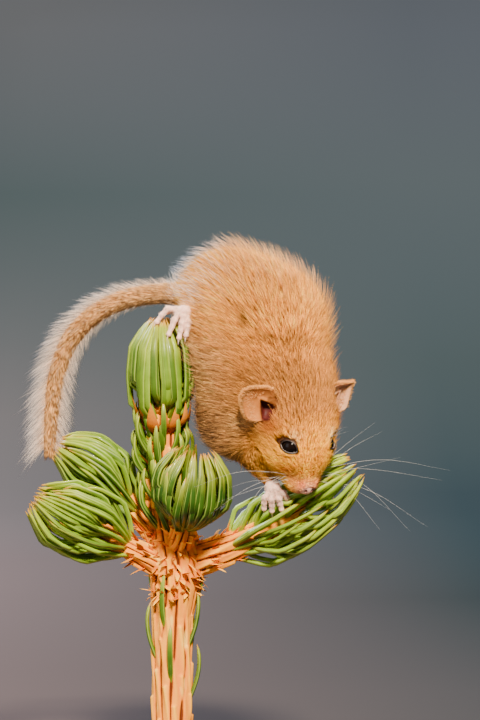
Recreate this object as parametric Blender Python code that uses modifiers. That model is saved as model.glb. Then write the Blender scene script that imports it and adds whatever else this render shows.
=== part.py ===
"""Hazel dormouse, life size, head down on the tip of a spruce leader, held by a plain display stand.

Every length is in millimetres here, and becomes metres when a mesh is made. X runs to the viewer's
right, Y away from the viewer and Z up. The origin is the middle of the stand's underside.
"""

import math
import random

import bmesh
import bpy
import numpy as np
from mathutils import Matrix, Vector

MM = 0.001
GAP = 0.3
CLEARANCE = 0.4
KEPT_AFTER_UNION = 0.88
GOLDEN_ANGLE = math.radians(137.508)
PART_COLLECTION = "hazel_dormouse"
CUTTER_COLLECTION = "cutters"

# The head's own directions: towards the nose, the animal's left and the crown.
HEAD_AT = np.array([22.4, -9.5, 87.0])
NOSEWARD = np.array([0.20, -0.22, -0.95])
CROWNWARD = np.array([0.45, -0.85, 0.29])

EYE_RADIUS = 2.5
EYE_AT = (6.7, 4.2, 2.5)
EYE_LOOKS = (0.16, 0.78, 0.62)
EYE_CORNER = (0.66, -0.60, 0.60)
EYE_OPENING = (2.45, 1.25, 1.2)
LID_THICKNESS = 0.5
EAR_ROOT = (-1.7, 8.1, 3.2)
EAR_RISES = (-0.62, 0.82, 0.20)
EAR_FACES = (0.48, 0.42, 0.76)
EAR_LENGTH = 4.9
EAR_WIDTH = 4.4
EAR_DEPTH = 2.6
EAR_THICKNESS = 0.7
EAR_POINT = 0.36

# The board reaches as far as the whiskers do, which the looks model adds.
STAND_LENGTH = 118.0
STAND_DEPTH = 74.0
STAND_HEIGHT = 6.0
STAND_CORNER = 9.0
ROD_RADIUS = 1.6
STEM_FOOT = np.array([-6.6, 1.0, 14.0])
STEM_RADIUS = 4.7
WHORL_AT = np.array([-5.4, 1.0, 55.5])


def unit(vector):
    """The vector at length one."""
    vector = np.asarray(vector, float)
    return vector / np.linalg.norm(vector)


def head_axes():
    """Rows of the head's own directions, square to each other: noseward, left, crownward."""
    nose = unit(NOSEWARD)
    crown = unit(CROWNWARD - nose * (CROWNWARD @ nose))
    return np.array([nose, np.cross(crown, nose), crown])


HEAD_AXES = head_axes()


def on_head(noseward, left, crownward):
    """A point given in the head's own directions, in the part's frame."""
    return HEAD_AT + np.array([noseward, left, crownward]) @ HEAD_AXES


class Mass:
    """A rounded mass of flesh: an ellipsoid, or a limb that tapers from one ball to another."""

    def __init__(self, centre, radii, blend=4.0, axes=None, end=None, end_radius=None):
        self.centre = np.asarray(centre, float)
        self.radii = np.broadcast_to(np.asarray(radii, float), 3)
        self.blend = blend
        self.axes = np.eye(3) if axes is None else axes
        self.end = None if end is None else np.asarray(end, float)
        self.end_radius = end_radius

    def distance(self, points):
        """How far each point is outside the mass."""
        if self.end is None:
            local = (points - self.centre) @ self.axes.T
            near = np.linalg.norm(local / self.radii, axis=1)
            steep = np.linalg.norm(local / self.radii**2, axis=1)
            return near * (near - 1) / np.maximum(steep, 1e-9)
        along = self.end - self.centre
        share = np.clip((points - self.centre) @ along / (along @ along), 0, 1)
        radius = self.radii[0] + (self.end_radius - self.radii[0]) * share
        return np.linalg.norm(points - self.centre - share[:, None] * along, axis=1) - radius

    def balls(self):
        """Centres and radii of the balls that fill it, to start its mesh from."""
        if self.end is None:
            return [(self.centre, self.radii)]
        count = 1 + math.ceil(np.linalg.norm(self.end - self.centre) / (0.5 * self.end_radius))
        shares = np.linspace(0, 1, count)
        ends = (self.radii, np.full(3, self.end_radius))
        return [
            (self.centre + (self.end - self.centre) * s, ends[0] + (ends[1] - ends[0]) * s)
            for s in shares
        ]


def head_mass(noseward, left, crownward, radii, blend=2.5, end=None, end_radius=None):
    """A mass placed and turned by the head's own directions."""
    end = None if end is None else on_head(*end)
    return Mass(on_head(noseward, left, crownward), radii, blend, HEAD_AXES, end, end_radius)


WRIST_RIGHT = np.array([16.4, -7.2, 73.0])
WRIST_LEFT = np.array([27.6, -1.6, 74.6])
ANKLE_RIGHT = np.array([-1.2, -3.4, 111.4])
ANKLE_LEFT = np.array([-1.2, 8.4, 104.6])

MASSES = [
    Mass((14.2, -1.0, 108.4), (15.5, 14.4, 15.4)),
    Mass((6.9, 4.0, 115.0), (11.8, 11.6, 11.6), 5.0),
    Mass((14.9, -2.5, 95.8), (15.6, 13.4, 14.4), 5.0),
    Mass((12.5, 4.5, 100.5), (12.0, 11.5, 15.0), 4.0),
    Mass((0.5, 6.4, 115.6), 4.6, 3.0, end=(-4.6, 7.0, 116.4), end_radius=2.5),
    Mass((20.0, -6.0, 92.0), 11.6, 4.0),
    # The hind legs: a thigh against the flank and a shank to the ankle.
    Mass((6.4, -3.2, 104.0), (8.6, 8.4, 9.4), 2.0),
    Mass((4.6, -2.6, 107.6), 4.0, 2.0, end=ANKLE_RIGHT, end_radius=1.75),
    Mass((9.4, 9.6, 104.0), (8.4, 7.4, 9.0), 2.0),
    Mass((5.4, 10.4, 104.8), 4.0, 2.0, end=ANKLE_LEFT, end_radius=1.75),
    # The forelegs: a shoulder and a forearm to the wrist.
    Mass((8.6, -3.4, 87.2), (9.0, 8.4, 9.2), 3.0),
    Mass((12.0, -5.0, 80.4), 4.6, 2.5, end=WRIST_RIGHT, end_radius=1.6),
    Mass((17.6, -5.4, 81.4), (6.6, 6.0, 6.4), 3.0),
    Mass((20.0, 3.0, 86.0), (8.6, 8.0, 9.0), 3.0),
    Mass((23.4, 2.4, 80.0), 4.6, 2.5, end=WRIST_LEFT, end_radius=1.6),
    # The head: skull, face, cheeks, snout, whisker pads, nose and chin.
    head_mass(-0.5, 0, 0.3, (9.8, 9.4, 8.6), 3.0),
    head_mass(5.2, 0, -0.8, (7.8, 7.4, 7.0)),
    head_mass(4.6, 3.9, -3.4, (6.0, 4.6, 4.8)),
    head_mass(4.6, -3.9, -3.4, (6.0, 4.6, 4.8)),
    head_mass(8.0, 0, -1.7, 5.5, 2.0, end=(13.6, 0, -2.6), end_radius=3.1),
    head_mass(12.2, 2.1, -3.6, (3.4, 2.1, 2.3), 1.2),
    head_mass(12.2, -2.1, -3.6, (3.4, 2.1, 2.3), 1.2),
    head_mass(15.9, 0, -2.1, (1.35, 1.55, 1.25), 1.0),
    head_mass(9.8, 0, -5.9, (4.6, 2.7, 1.9), 1.5),
]


def flesh_distance(points):
    """How far each point is outside the animal's body, where the masses run into each other."""
    total = None
    for mass in MASSES:
        one = mass.distance(points)
        if total is None:
            total = one
            continue
        mix = np.clip(0.5 + 0.5 * (one - total) / mass.blend, 0, 1)
        total = one + (total - one) * mix - mass.blend * mix * (1 - mix)
    return total


def flesh_slope(points, step=0.05):
    """The direction in which each point gets further from the body, by its rate."""
    sides = [
        flesh_distance(points + axis) - flesh_distance(points - axis) for axis in np.eye(3) * step
    ]
    return np.array(sides).T / (2 * step)


def settled(points, level, rounds=8):
    """The points moved onto the surface that lies this far outside the body."""
    points = np.array(points, float)
    for _ in range(rounds):
        slope = flesh_slope(points)
        steep = np.maximum((slope**2).sum(axis=1), 0.05)
        step = (flesh_distance(points) - level) / steep
        points -= np.clip(step, -1.0, 1.0)[:, None] * slope
    return points


def collection(name):
    """The scene's collection of this name."""
    made = bpy.data.collections.get(name)
    if made is None:
        made = bpy.data.collections.new(name)
        bpy.context.scene.collection.children.link(made)
    return made


def link(obj):
    """Puts an object among the cutters and other passing shapes, where it stays until it is dressed."""
    collection(CUTTER_COLLECTION).objects.link(obj)
    return obj


def material(name, colour, roughness, metallic=0.0):
    """A plain finish with this linear colour."""
    made = bpy.data.materials.get(name)
    if made:
        return made
    made = bpy.data.materials.new(name)
    made.use_nodes = True
    shader = made.node_tree.nodes["Principled BSDF"]
    shader.inputs["Base Color"].default_value = (*colour, 1.0)
    shader.inputs["Roughness"].default_value = roughness
    shader.inputs["Metallic"].default_value = metallic
    return made


def mesh_object(name, build):
    """An object whose mesh is what build puts in an empty bmesh, in millimetres."""
    shape = bmesh.new()
    build(shape)
    bmesh.ops.recalc_face_normals(shape, faces=shape.faces)
    bmesh.ops.scale(shape, vec=(MM, MM, MM), verts=shape.verts)
    mesh = bpy.data.meshes.new(name)
    shape.to_mesh(mesh)
    shape.free()
    return link(bpy.data.objects.new(name, mesh))


def placed(centre, radii=(1, 1, 1), axes=None):
    """The matrix that puts a unit shape there, stretched along its own axes."""
    turn = Matrix.Identity(3) if axes is None else Matrix(axes.tolist()).transposed()
    scale = Matrix.Diagonal((*np.broadcast_to(np.asarray(radii, float), 3), 1.0))
    return Matrix.Translation(Vector(centre)) @ turn.to_4x4() @ scale


def ball(name, centre, radii, axes=None, segments=16, rings=10):
    """An ellipsoid."""
    return mesh_object(
        name,
        lambda shape: bmesh.ops.create_uvsphere(
            shape,
            u_segments=segments,
            v_segments=rings,
            radius=1.0,
            matrix=placed(centre, radii, axes),
        ),
    )


def hull_of_balls(name, balls):
    """The tight skin round a few balls, as a smooth cutter."""

    def build(shape):
        for centre, radius in balls:
            bmesh.ops.create_icosphere(
                shape, subdivisions=2, radius=radius, matrix=placed(centre)
            )
        bmesh.ops.delete(shape, geom=list(shape.edges), context="EDGES_FACES")
        bmesh.ops.convex_hull(shape, input=shape.verts)
        inner = [vert for vert in shape.verts if not vert.link_faces]
        bmesh.ops.delete(shape, geom=inner, context="VERTS")

    return mesh_object(name, build)


def evaluated_mesh(obj):
    """The object's mesh with its modifiers applied."""
    graph = bpy.context.evaluated_depsgraph_get()
    return bpy.data.meshes.new_from_object(obj.evaluated_get(graph))


def apply_modifiers(obj):
    """Makes the object's modifiers part of its mesh."""
    old, obj.data = obj.data, evaluated_mesh(obj)
    obj.modifiers.clear()
    bpy.data.meshes.remove(old)


def keep_largest(obj):
    """Drops all but the largest closed surface of the object's mesh."""
    shape = bmesh.new()
    shape.from_mesh(obj.data)
    unseen, surfaces = set(shape.faces), []
    while unseen:
        waiting, surface = [unseen.pop()], []
        while waiting:
            face = waiting.pop()
            surface.append(face)
            for other in (near for edge in face.edges for near in edge.link_faces):
                if other in unseen:
                    unseen.remove(other)
                    waiting.append(other)
        surfaces.append(surface)

    def span(surface):
        points = np.array([vert.co for face in surface for vert in face.verts])
        return np.prod(points.max(axis=0) - points.min(axis=0))

    surfaces.sort(key=span)
    loose = [face for surface in surfaces[:-1] for face in surface]
    bmesh.ops.delete(shape, geom=loose, context="FACES")
    shape.to_mesh(obj.data)
    shape.free()


def combine(obj, other, operation, solver="MANIFOLD"):
    """Joins to the object, cuts from it or keeps of it what is in another closed mesh."""
    join = obj.modifiers.new("combine", "BOOLEAN")
    join.operation, join.solver, join.object = operation, solver, other
    apply_modifiers(obj)
    return obj


def clear_of(obj, cutters):
    """Cuts the object back from what it must not touch."""
    for cutter in cutters:
        combine(obj, cutter, "DIFFERENCE")
    keep_largest(obj)
    return obj


def half_space(point, way, size=60.0):
    """A block that fills the space beyond a plane."""
    side = unit(np.cross(way, (0.1, 1.0, 0.2)))
    axes = np.array([side, np.cross(way, side), way])
    return mesh_object(
        "beyond",
        lambda shape: bmesh.ops.create_cube(
            shape, size=1.0, matrix=placed(point + way * size / 2, (size, size, size), axes)
        ),
    )


def fuse(name, pieces, solver="MANIFOLD"):
    """One closed object from a first piece and all that grows from it."""
    body, grown = pieces[0], pieces[1:]
    body.name = name
    if grown:
        group = bpy.data.collections.new("growing on " + name)
        for piece in grown:
            group.objects.link(piece)
        join = body.modifiers.new("fuse", "BOOLEAN")
        join.operation, join.solver = "UNION", solver
        join.operand_type, join.collection = "COLLECTION", group
        apply_modifiers(body)
        for piece in grown:
            remove(piece)
        bpy.data.collections.remove(group)
    keep_largest(body)
    return body


def drop_slivers(obj):
    """Collapses the shortest edges that unions leave, where the mesh stays closed by it."""
    tried = duplicate(obj, "tried")
    thin = tried.modifiers.new("slivers", "DECIMATE")
    thin.ratio = KEPT_AFTER_UNION
    apply_modifiers(tried)
    keep_largest(tried)
    shape = bmesh.new()
    shape.from_mesh(tried.data)
    closed = all(len(edge.link_faces) == 2 for edge in shape.edges)
    shape.free()
    if closed:
        obj.data = tried.data.copy()
    remove(tried)
    return obj


def remove(obj):
    """Takes an object and its mesh out of the scene."""
    mesh = obj.data
    bpy.data.objects.remove(obj)
    bpy.data.meshes.remove(mesh)


def duplicate(obj, name):
    """A copy of the object with a mesh of its own."""
    return link(bpy.data.objects.new(name, obj.data.copy()))


def bent_line(points, count):
    """Points read at equal steps from a smooth line through the given ones."""
    points = np.asarray(points, float)
    padded = np.vstack([2 * points[0] - points[1], points, 2 * points[-1] - points[-2]])
    spans = np.linspace(0, len(points) - 1, 24 * (len(points) - 1) + 1)
    line = []
    for span in spans:
        i = min(int(span), len(points) - 2)
        t = span - i
        a, b, c, d = padded[i : i + 4]
        line.append(
            0.5
            * (2 * b + (c - a) * t + (2 * a - 5 * b + 4 * c - d) * t**2 + (3 * b - a - 3 * c + d) * t**3)
        )
    line = np.array(line)
    reach = np.concatenate([[0], np.cumsum(np.linalg.norm(np.diff(line, axis=0), axis=1))])
    wanted = np.linspace(0, reach[-1], count)
    return np.array([np.interp(wanted, reach, line[:, k]) for k in range(3)]).T


def tangents(path):
    """The direction of travel at each point of a path."""
    return np.array([unit(step) for step in np.gradient(np.asarray(path, float), axis=0)])


def tube(name, path, radii, resolution=2):
    """A closed tube of changing radius along a path, with flat ends. It has 4 + 2 x resolution sides."""
    path = np.asarray(path, float) * MM
    radii = np.broadcast_to(radii, len(path)) * MM
    curve = bpy.data.curves.new(name, "CURVE")
    curve.dimensions = "3D"
    curve.bevel_depth, curve.bevel_resolution = radii.max(), resolution
    curve.use_fill_caps = True
    spline = curve.splines.new("POLY")
    spline.points.add(len(path) - 1)
    for node, point, radius in zip(spline.points, path, radii):
        node.co, node.radius = (*point, 1.0), radius / radii.max()
    guide = link(bpy.data.objects.new(name, curve))
    mesh = evaluated_mesh(guide)
    bpy.data.objects.remove(guide)
    bpy.data.curves.remove(curve)
    shape = bmesh.new()
    shape.from_mesh(mesh)
    bmesh.ops.remove_doubles(shape, verts=shape.verts, dist=1e-6)
    bmesh.ops.recalc_face_normals(shape, faces=shape.faces)
    shape.to_mesh(mesh)
    shape.free()
    return link(bpy.data.objects.new(name, mesh))


def spindle(name, path, widths, depths, outward):
    """A closed three-sided blade along a bent line, ending in a point: a needle, lock or claw."""
    path = np.asarray(path, float)
    along = tangents(path)

    def build(shape):
        rings = []
        for point, way, width, depth in zip(path, along, widths, depths):
            side = unit(np.cross(way, outward))
            up = np.cross(side, way)
            corners = (point + side * width, point + up * depth, point - side * width)
            rings.append([shape.verts.new(corner) for corner in corners])
        tip = shape.verts.new(path[-1])
        # All three sides are split from low left to high right, so that thin bent blades don't cross themselves.
        for low, high in zip(rings, rings[1:]):
            for start, end in ((2, 0), (1, 0), (2, 1)):
                shape.faces.new((low[end], low[start], high[end]))
                shape.faces.new((low[start], high[start], high[end]))
        for k in range(3):
            shape.faces.new((rings[-1][k], rings[-1][k - 1], tip))
        shape.faces.new(rings[0])

    return mesh_object(name, build)


def flesh_mesh(name, level, voxel, triangles):
    """The whole body as one closed mesh, at this distance outside its surface."""
    pieces = []
    for mass in MASSES:
        for centre, radii in mass.balls():
            pieces.append(ball("piece", centre, radii + level, mass.axes, 24, 16))
    shape = bmesh.new()
    for piece in pieces:
        shape.from_mesh(piece.data)
        remove(piece)
    mesh = bpy.data.meshes.new(name)
    shape.to_mesh(mesh)
    shape.free()
    whole = link(bpy.data.objects.new(name, mesh))
    remesh = whole.modifiers.new("skin", "REMESH")
    remesh.mode, remesh.voxel_size = "VOXEL", voxel * MM
    apply_modifiers(whole)
    points = np.empty(len(whole.data.vertices) * 3, np.float32)
    whole.data.vertices.foreach_get("co", points)
    points = settled(points.reshape(-1, 3) / MM, level)
    whole.data.vertices.foreach_set("co", (points * MM).astype(np.float32).ravel())
    whole.data.update()
    if triangles:
        whole.data.calc_loop_triangles()
        thin = whole.modifiers.new("fewer", "DECIMATE")
        thin.ratio = triangles / len(whole.data.loop_triangles)
        apply_modifiers(whole)
    keep_largest(whole)
    return whole


def cut_out(whole, name, balls):
    """Parts a node from the whole by a thin cut round some balls, and returns it."""
    inside = hull_of_balls("inside", balls)
    outside = hull_of_balls("outside", [(centre, radius + GAP) for centre, radius in balls])
    part = combine(duplicate(whole, name), inside, "INTERSECT")
    combine(whole, outside, "DIFFERENCE")
    remove(inside)
    remove(outside)
    keep_largest(part)
    return part


def mirrored(point, side):
    """A head point with its leftward share turned to this side."""
    return (point[0], point[1] * side, point[2])


def eye_frame(side):
    """An eye's centre, where it looks, the way to its front corner and the way to its upper lid."""
    centre = on_head(*mirrored(EYE_AT, side))
    looks = unit(np.array(mirrored(EYE_LOOKS, side)) @ HEAD_AXES)
    corner = np.array(mirrored(EYE_CORNER, side)) @ HEAD_AXES
    corner = unit(corner - looks * (corner @ looks))
    return centre, looks, corner, np.cross(looks, corner) * side


def almond(side, reach, segments=10):
    """Points of the almond that the lids leave open, this far out from the eye's centre."""
    centre, looks, corner, above = eye_frame(side)
    long, upper, lower = EYE_OPENING
    points = []
    for k in range(2 * segments):
        turn = math.pi * k / segments
        tall = upper if math.sin(turn) > 0 else lower
        spread = corner * long * math.cos(turn) + above * tall * math.sin(turn) * abs(math.sin(turn)) ** 0.3
        points.append(centre + looks * reach + spread * (0.55 + 0.2 * reach))
    return points


def prism(name, low, high):
    """A closed solid between two rings of as many points."""

    def build(shape):
        rings = [[shape.verts.new(point) for point in ring] for ring in (low, high)]
        for k in range(len(low)):
            shape.faces.new((rings[0][k], rings[0][k - 1], rings[1][k - 1], rings[1][k]))
        shape.faces.new(rings[0])
        shape.faces.new(rings[1][::-1])

    return mesh_object(name, build)


def face_details(head):
    """Lids, eye sockets, the line of the mouth and the nostrils."""
    for side in (1, -1):
        centre = eye_frame(side)[0]
        socket_radius = EYE_RADIUS + GAP
        lids = ball("lids", centre, socket_radius + LID_THICKNESS, None, 16, 10)
        combine(head, lids, "UNION")
        opening = prism("opening", almond(side, 0.9), almond(side, 4.6))
        combine(head, opening, "DIFFERENCE")
        socket = ball("socket", centre, socket_radius, None, 14, 8)
        combine(head, socket, "DIFFERENCE")
        nostril = ball("nostril", on_head(16.8, 0.8 * side, -2.1), (0.6, 0.42, 0.38), HEAD_AXES, 8, 6)
        combine(head, nostril, "DIFFERENCE")
        for cutter in (lids, opening, socket, nostril):
            remove(cutter)
    half = [(8.6, 4.4, -6.2), (11.2, 3.3, -6.2), (13.8, 1.8, -5.4), (15.0, 0.0, -4.2)]
    line = half + [mirrored(point, -1) for point in half[-2::-1]]
    path = settled(bent_line([on_head(*point) for point in line], 15), -0.1)
    mouth = tube("mouth", path, 0.32, 1)
    combine(head, mouth, "DIFFERENCE")
    remove(mouth)
    keep_largest(head)


def ear(side, clear):
    """The cupped shell of an ear, cut clear of the head at its root."""
    root = on_head(*mirrored(EAR_ROOT, side))
    out = unit(np.array(mirrored(EAR_RISES, side)) @ HEAD_AXES)
    face = np.array(mirrored(EAR_FACES, side)) @ HEAD_AXES
    face = unit(face - out * (face @ out))
    across = np.cross(out, face)
    rings, sides = 4, 12

    def build(shape):
        sheets = []
        for lift in (0.0, EAR_THICKNESS):
            middle = None
            sheet = []
            for r in range(rings + 1):
                share = r / rings
                ring = []
                for k in range(sides if r else 1):
                    turn = 2 * math.pi * k / sides
                    flat = share * (1 - 0.12 * max(0.0, -math.cos(turn)))
                    up, over = flat * math.cos(turn), flat * math.sin(turn)
                    over *= 1 - EAR_POINT * max(0.0, up)
                    bowl = EAR_DEPTH * (1 - share**2) + lift * (1 - 0.55 * share)
                    point = (
                        root
                        + out * (EAR_LENGTH * (0.72 + up))
                        + across * EAR_WIDTH * over
                        - face * (bowl - 1.2)
                    )
                    ring.append(shape.verts.new(point))
                if r == 0:
                    middle = ring[0]
                sheet.append(ring)
            sheets.append((middle, sheet))
        for turned, (middle, sheet) in enumerate(sheets):
            for k in range(sides):
                fan = (middle, sheet[1][k - 1], sheet[1][k])
                shape.faces.new(fan[::-1] if turned else fan)
                for low, high in zip(sheet[1:], sheet[2:]):
                    quad = (low[k - 1], high[k - 1], high[k], low[k])
                    shape.faces.new(quad[::-1] if turned else quad)
        inner, outer = sheets[0][1][-1], sheets[1][1][-1]
        for k in range(sides):
            shape.faces.new((inner[k - 1], outer[k - 1], outer[k], inner[k]))

    made = mesh_object("ear_left" if side > 0 else "ear_right", build)
    combine(made, clear, "DIFFERENCE")
    keep_largest(made)
    return made


DIGIT_RADIUS = 0.62
DIGIT_TAPER = np.array([0.95, 1.05, 1.0, 0.8, 0.2])
CLAW_DROP = np.array([0.0, 0.1, -0.35])


class Paw:
    """A palm with digits, each given by the points that it bends through."""

    def __init__(self, name, palm, palm_radii, digits):
        self.name = name
        self.palm = np.asarray(palm, float)
        self.palm_radii = palm_radii
        self.digits = [np.asarray(points, float) for points in digits]

    def paths(self):
        """Each digit's line, from inside the palm to its tip."""
        return [bent_line(np.vstack([self.palm, digit]), 4) for digit in self.digits]

    def build(self, clear):
        """The palm, digits and claws as one node, cut clear of the leg."""
        pieces = [ball(self.name, self.palm, self.palm_radii, None, 8, 5)]
        for path in self.paths():
            claw = path[-1] + unit(path[-1] - path[-2]) * 1.1 + CLAW_DROP
            pieces.append(tube("digit", [*path, claw], DIGIT_RADIUS * DIGIT_TAPER, 1))
        whole = fuse(self.name, pieces)
        combine(whole, clear, "DIFFERENCE")
        keep_largest(whole)
        return whole


PAWS = [
    Paw(
        "forepaw_right",
        (17.0, -7.9, 70.9),
        (1.8, 1.5, 1.9),
        [
            [(15.2, -8.6, 69.2), (14.9, -7.4, 66.4)],
            [(16.6, -9.2, 68.8), (16.7, -8.0, 65.9)],
            [(18.2, -9.0, 69.0), (18.9, -7.8, 66.3)],
            [(19.3, -8.2, 70.0), (20.6, -7.2, 67.9)],
        ],
    ),
    Paw(
        "forepaw_left",
        (28.2, -1.0, 72.3),
        (1.7, 1.5, 1.9),
        [
            [(26.6, -0.6, 71.2), (26.2, -1.2, 69.2)],
            [(27.6, -1.6, 70.4), (27.4, -2.2, 68.4)],
            [(29.4, -0.9, 70.6), (29.6, -1.8, 68.6)],
            [(30.0, 0.4, 71.2), (30.8, 0.2, 69.2)],
        ],
    ),
    Paw(
        "hindpaw_right",
        (-3.7, -4.2, 111.9),
        (2.4, 1.5, 1.3),
        [
            [(-7.2, -3.8, 112.7), (-10.0, -3.9, 109.6)],
            [(-5.4, -5.2, 111.0), (-7.2, -5.9, 106.8)],
            [(-3.9, -5.6, 110.4), (-4.8, -6.4, 106.0)],
            [(-2.7, -5.6, 109.9), (-3.2, -6.2, 106.6)],
            [(-5.6, -2.2, 112.4), (-7.6, -0.6, 111.9)],
        ],
    ),
    Paw(
        "hindpaw_left",
        (-2.8, 9.2, 102.8),
        (1.5, 1.6, 2.6),
        [
            [(-3.8, 9.9, 99.4), (-5.6, 9.5, 96.6)],
            [(-4.8, 10.0, 100.6), (-7.6, 10.2, 98.2)],
            [(-5.0, 10.0, 102.0), (-8.8, 10.2, 100.4)],
            [(-5.1, 9.8, 103.4), (-8.8, 9.8, 103.2)],
            [(-2.2, 8.8, 99.8), (-2.6, 7.9, 97.4)],
        ],
    ),
]


TAIL_POINTS = [
    (-1.0, 6.8, 115.6),
    (-8.4, 7.6, 117.0),
    (-16.3, 9.2, 116.2),
    (-22.6, 10.8, 113.6),
    (-27.6, 12.4, 109.6),
    (-31.6, 14.0, 103.6),
    (-34.2, 15.4, 96.2),
    (-35.4, 16.6, 88.4),
    (-35.8, 17.2, 82.6),
    (-36.0, 17.6, 79.0),
]
TAIL_NODES = (("tail_base", 0.0, 0.30), ("tail_middle", 0.30, 0.64), ("tail_tip", 0.64, 1.0))
TAIL_STATIONS = 40
TAIL_LINE = bent_line(TAIL_POINTS, TAIL_STATIONS)
TAIL_LENGTH = float(np.linalg.norm(np.diff(TAIL_LINE, axis=0), axis=1).sum())
TAIL_CORE = 0.48
LOCK_ROWS = 12
LOCKS_ROUND = 5
LOCK_LENGTH = 8.5
LOCK_WIDTH = 2.0
LOCK_DEPTH = 0.7
LOCK_SUNK = 0.6


def tail_reach(share):
    """The tail's radius out to the tips of its hair, from root to tip."""
    swell = np.interp(share, (0, 0.12, 0.35, 0.7, 0.9, 1.0), (3.2, 3.3, 4.3, 5.4, 5.2, 3.0))
    return float(swell)


def tail_at(share):
    """A point of the tail's line by its share from root to tip."""
    places = np.linspace(0, 1, TAIL_STATIONS)
    return np.array([np.interp(share, places, TAIL_LINE[:, k]) for k in range(3)])


def tail_way(share):
    """The tail's direction there."""
    return unit(tail_at(min(share + 0.02, 1)) - tail_at(max(share - 0.02, 0)))


def tail_lock(share, turn, draw):
    """A flat lock of the tail's coat, rooted in the core and lying back along it."""
    length = LOCK_LENGTH * draw.uniform(0.88, 1.12) / TAIL_LENGTH
    side = unit(np.cross(tail_way(share), (0.1, 1.0, 0.2)))
    points = []
    for step in np.linspace(0, 1, 4):
        here = share + length * step
        past = max(here - 1, 0) * TAIL_LENGTH
        way = tail_way(min(here, 1))
        across = unit(side - way * (side @ way))
        spoke = math.cos(turn) * across + math.sin(turn) * np.cross(way, across)
        reach = tail_reach(min(here, 1))
        core = reach * TAIL_CORE
        out = core - LOCK_SUNK + (reach - core + LOCK_SUNK) * step**0.8
        points.append(tail_at(min(here, 1)) + way * past + spoke * out)
    scale = 0.7 + 0.3 * tail_reach(share) / 5.4
    widths = LOCK_WIDTH * scale * np.array((0.8, 1.0, 0.75))
    depths = LOCK_DEPTH * np.array((0.9, 1.0, 0.7))
    return spindle("lock", points, widths, depths, points[-1] - tail_at(share))


def tail(clear):
    """The tail in lengths, each a core that its locks grow from."""
    draw = random.Random(1)
    for name, start, end in TAIL_NODES:
        first = start + (GAP / TAIL_LENGTH if start else 0)
        over = 1.0 / TAIL_LENGTH
        shares = np.linspace(first - over if start else 0, end + over if end < 1 else 1, 8)
        core = tube(name, [tail_at(s) for s in shares], [tail_reach(s) * TAIL_CORE for s in shares], 2)
        pieces = [core]
        rows = round((end - start) * LOCK_ROWS)
        for row in range(rows):
            share = first + (end - start) * (row + 0.2) / rows
            for k in range(LOCKS_ROUND):
                turn = 2 * math.pi * (k + 0.5 * (row % 2) + draw.uniform(-0.15, 0.15)) / LOCKS_ROUND
                pieces.append(tail_lock(share, turn, draw))
        made = fuse(name, pieces)
        cutters = []
        if start:
            cutters.append(half_space(tail_at(first), -tail_way(first)))
        if end < 1:
            cutters.append(half_space(tail_at(end), tail_way(end)))
        if not start:
            cutters.append(clear)
        clear_of(made, cutters)
        for cutter in cutters:
            if cutter is not clear:
                remove(cutter)
        dress(drop_slivers(made), FUR)


NEEDLE_STEPS = 13
NEEDLE_WIDTH = 0.72
NEEDLE_DEPTH = 0.8
NEEDLE_TAPER = (0.85, 1.0, 0.8)
SCALE_TAPER = (1.0, 0.75)


def needle(line, outward, taper=NEEDLE_TAPER):
    """A ridged needle or scale on a bent line."""
    stations = np.linspace(0, len(line) - 1, len(taper) + 1).round().astype(int)
    widths, depths = NEEDLE_WIDTH * np.array(taper), NEEDLE_DEPTH * np.array(taper)
    return spindle("needle", line[stations], widths, depths, outward)


class Room:
    """What is in place already, as balls, so that a needle can be bent clear of it."""

    def __init__(self):
        self.centres = np.zeros((0, 3))
        self.radii = np.zeros(0)
        self.owners = np.zeros(0, str)

    def fill(self, owner, line, radii, step=0.6):
        """Marks the space round a line as taken."""
        line = np.asarray(line, float)
        reach = np.concatenate([[0], np.cumsum(np.linalg.norm(np.diff(line, axis=0), axis=1))])
        wanted = np.linspace(0, reach[-1], 2 + int(reach[-1] / step))
        points = np.array([np.interp(wanted, reach, line[:, k]) for k in range(3)]).T
        sizes = np.interp(wanted, reach, np.broadcast_to(radii, len(line)))
        self.centres = np.vstack([self.centres, points])
        self.radii = np.concatenate([self.radii, sizes])
        self.owners = np.concatenate([self.owners, [owner] * len(points)])

    def push(self, owner, points, radius):
        """How far each point has to move to be clear, and which way."""
        away = np.zeros_like(points)
        lack = radius + CLEARANCE - flesh_distance(points)
        slope = flesh_slope(points)
        near = lack > 0
        away[near] += slope[near] * lack[near, None]
        lack = np.maximum(lack, 0)
        other = self.owners != owner
        offset = points[:, None] - self.centres[None, other]
        apart = np.maximum(np.linalg.norm(offset, axis=2), 1e-6)
        short = self.radii[other] + radius + CLEARANCE - apart
        worst = short.argmax(axis=1)
        rows = np.arange(len(points))
        most = np.maximum(short[rows, worst], 0)
        away += offset[rows, worst] / apart[rows, worst][:, None] * most[:, None]
        return away, np.maximum(lack, most)

    def bent_clear(self, owner, line, radius):
        """The line bent clear of all that is not the owner's, or nothing where it can't be."""
        line = np.array(line, float)
        rooted = len(line) // 5
        for _ in range(30):
            away, lack = self.push(owner, line, radius)
            if lack.max() <= 0:
                return line
            away[:rooted] = 0
            for _ in range(2):
                away[1:-1] = 0.5 * away[1:-1] + 0.25 * (away[:-2] + away[2:])
                away[:rooted] = 0
            line = line + 1.3 * away
        clear = np.flatnonzero(lack > 0)
        if len(clear) and clear[0] > 0.6 * len(line):
            short = line[: clear[0]]
            wanted = np.linspace(0, len(short) - 1, len(line))
            return np.array([np.interp(wanted, range(len(short)), short[:, k]) for k in range(3)]).T
        return None


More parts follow.
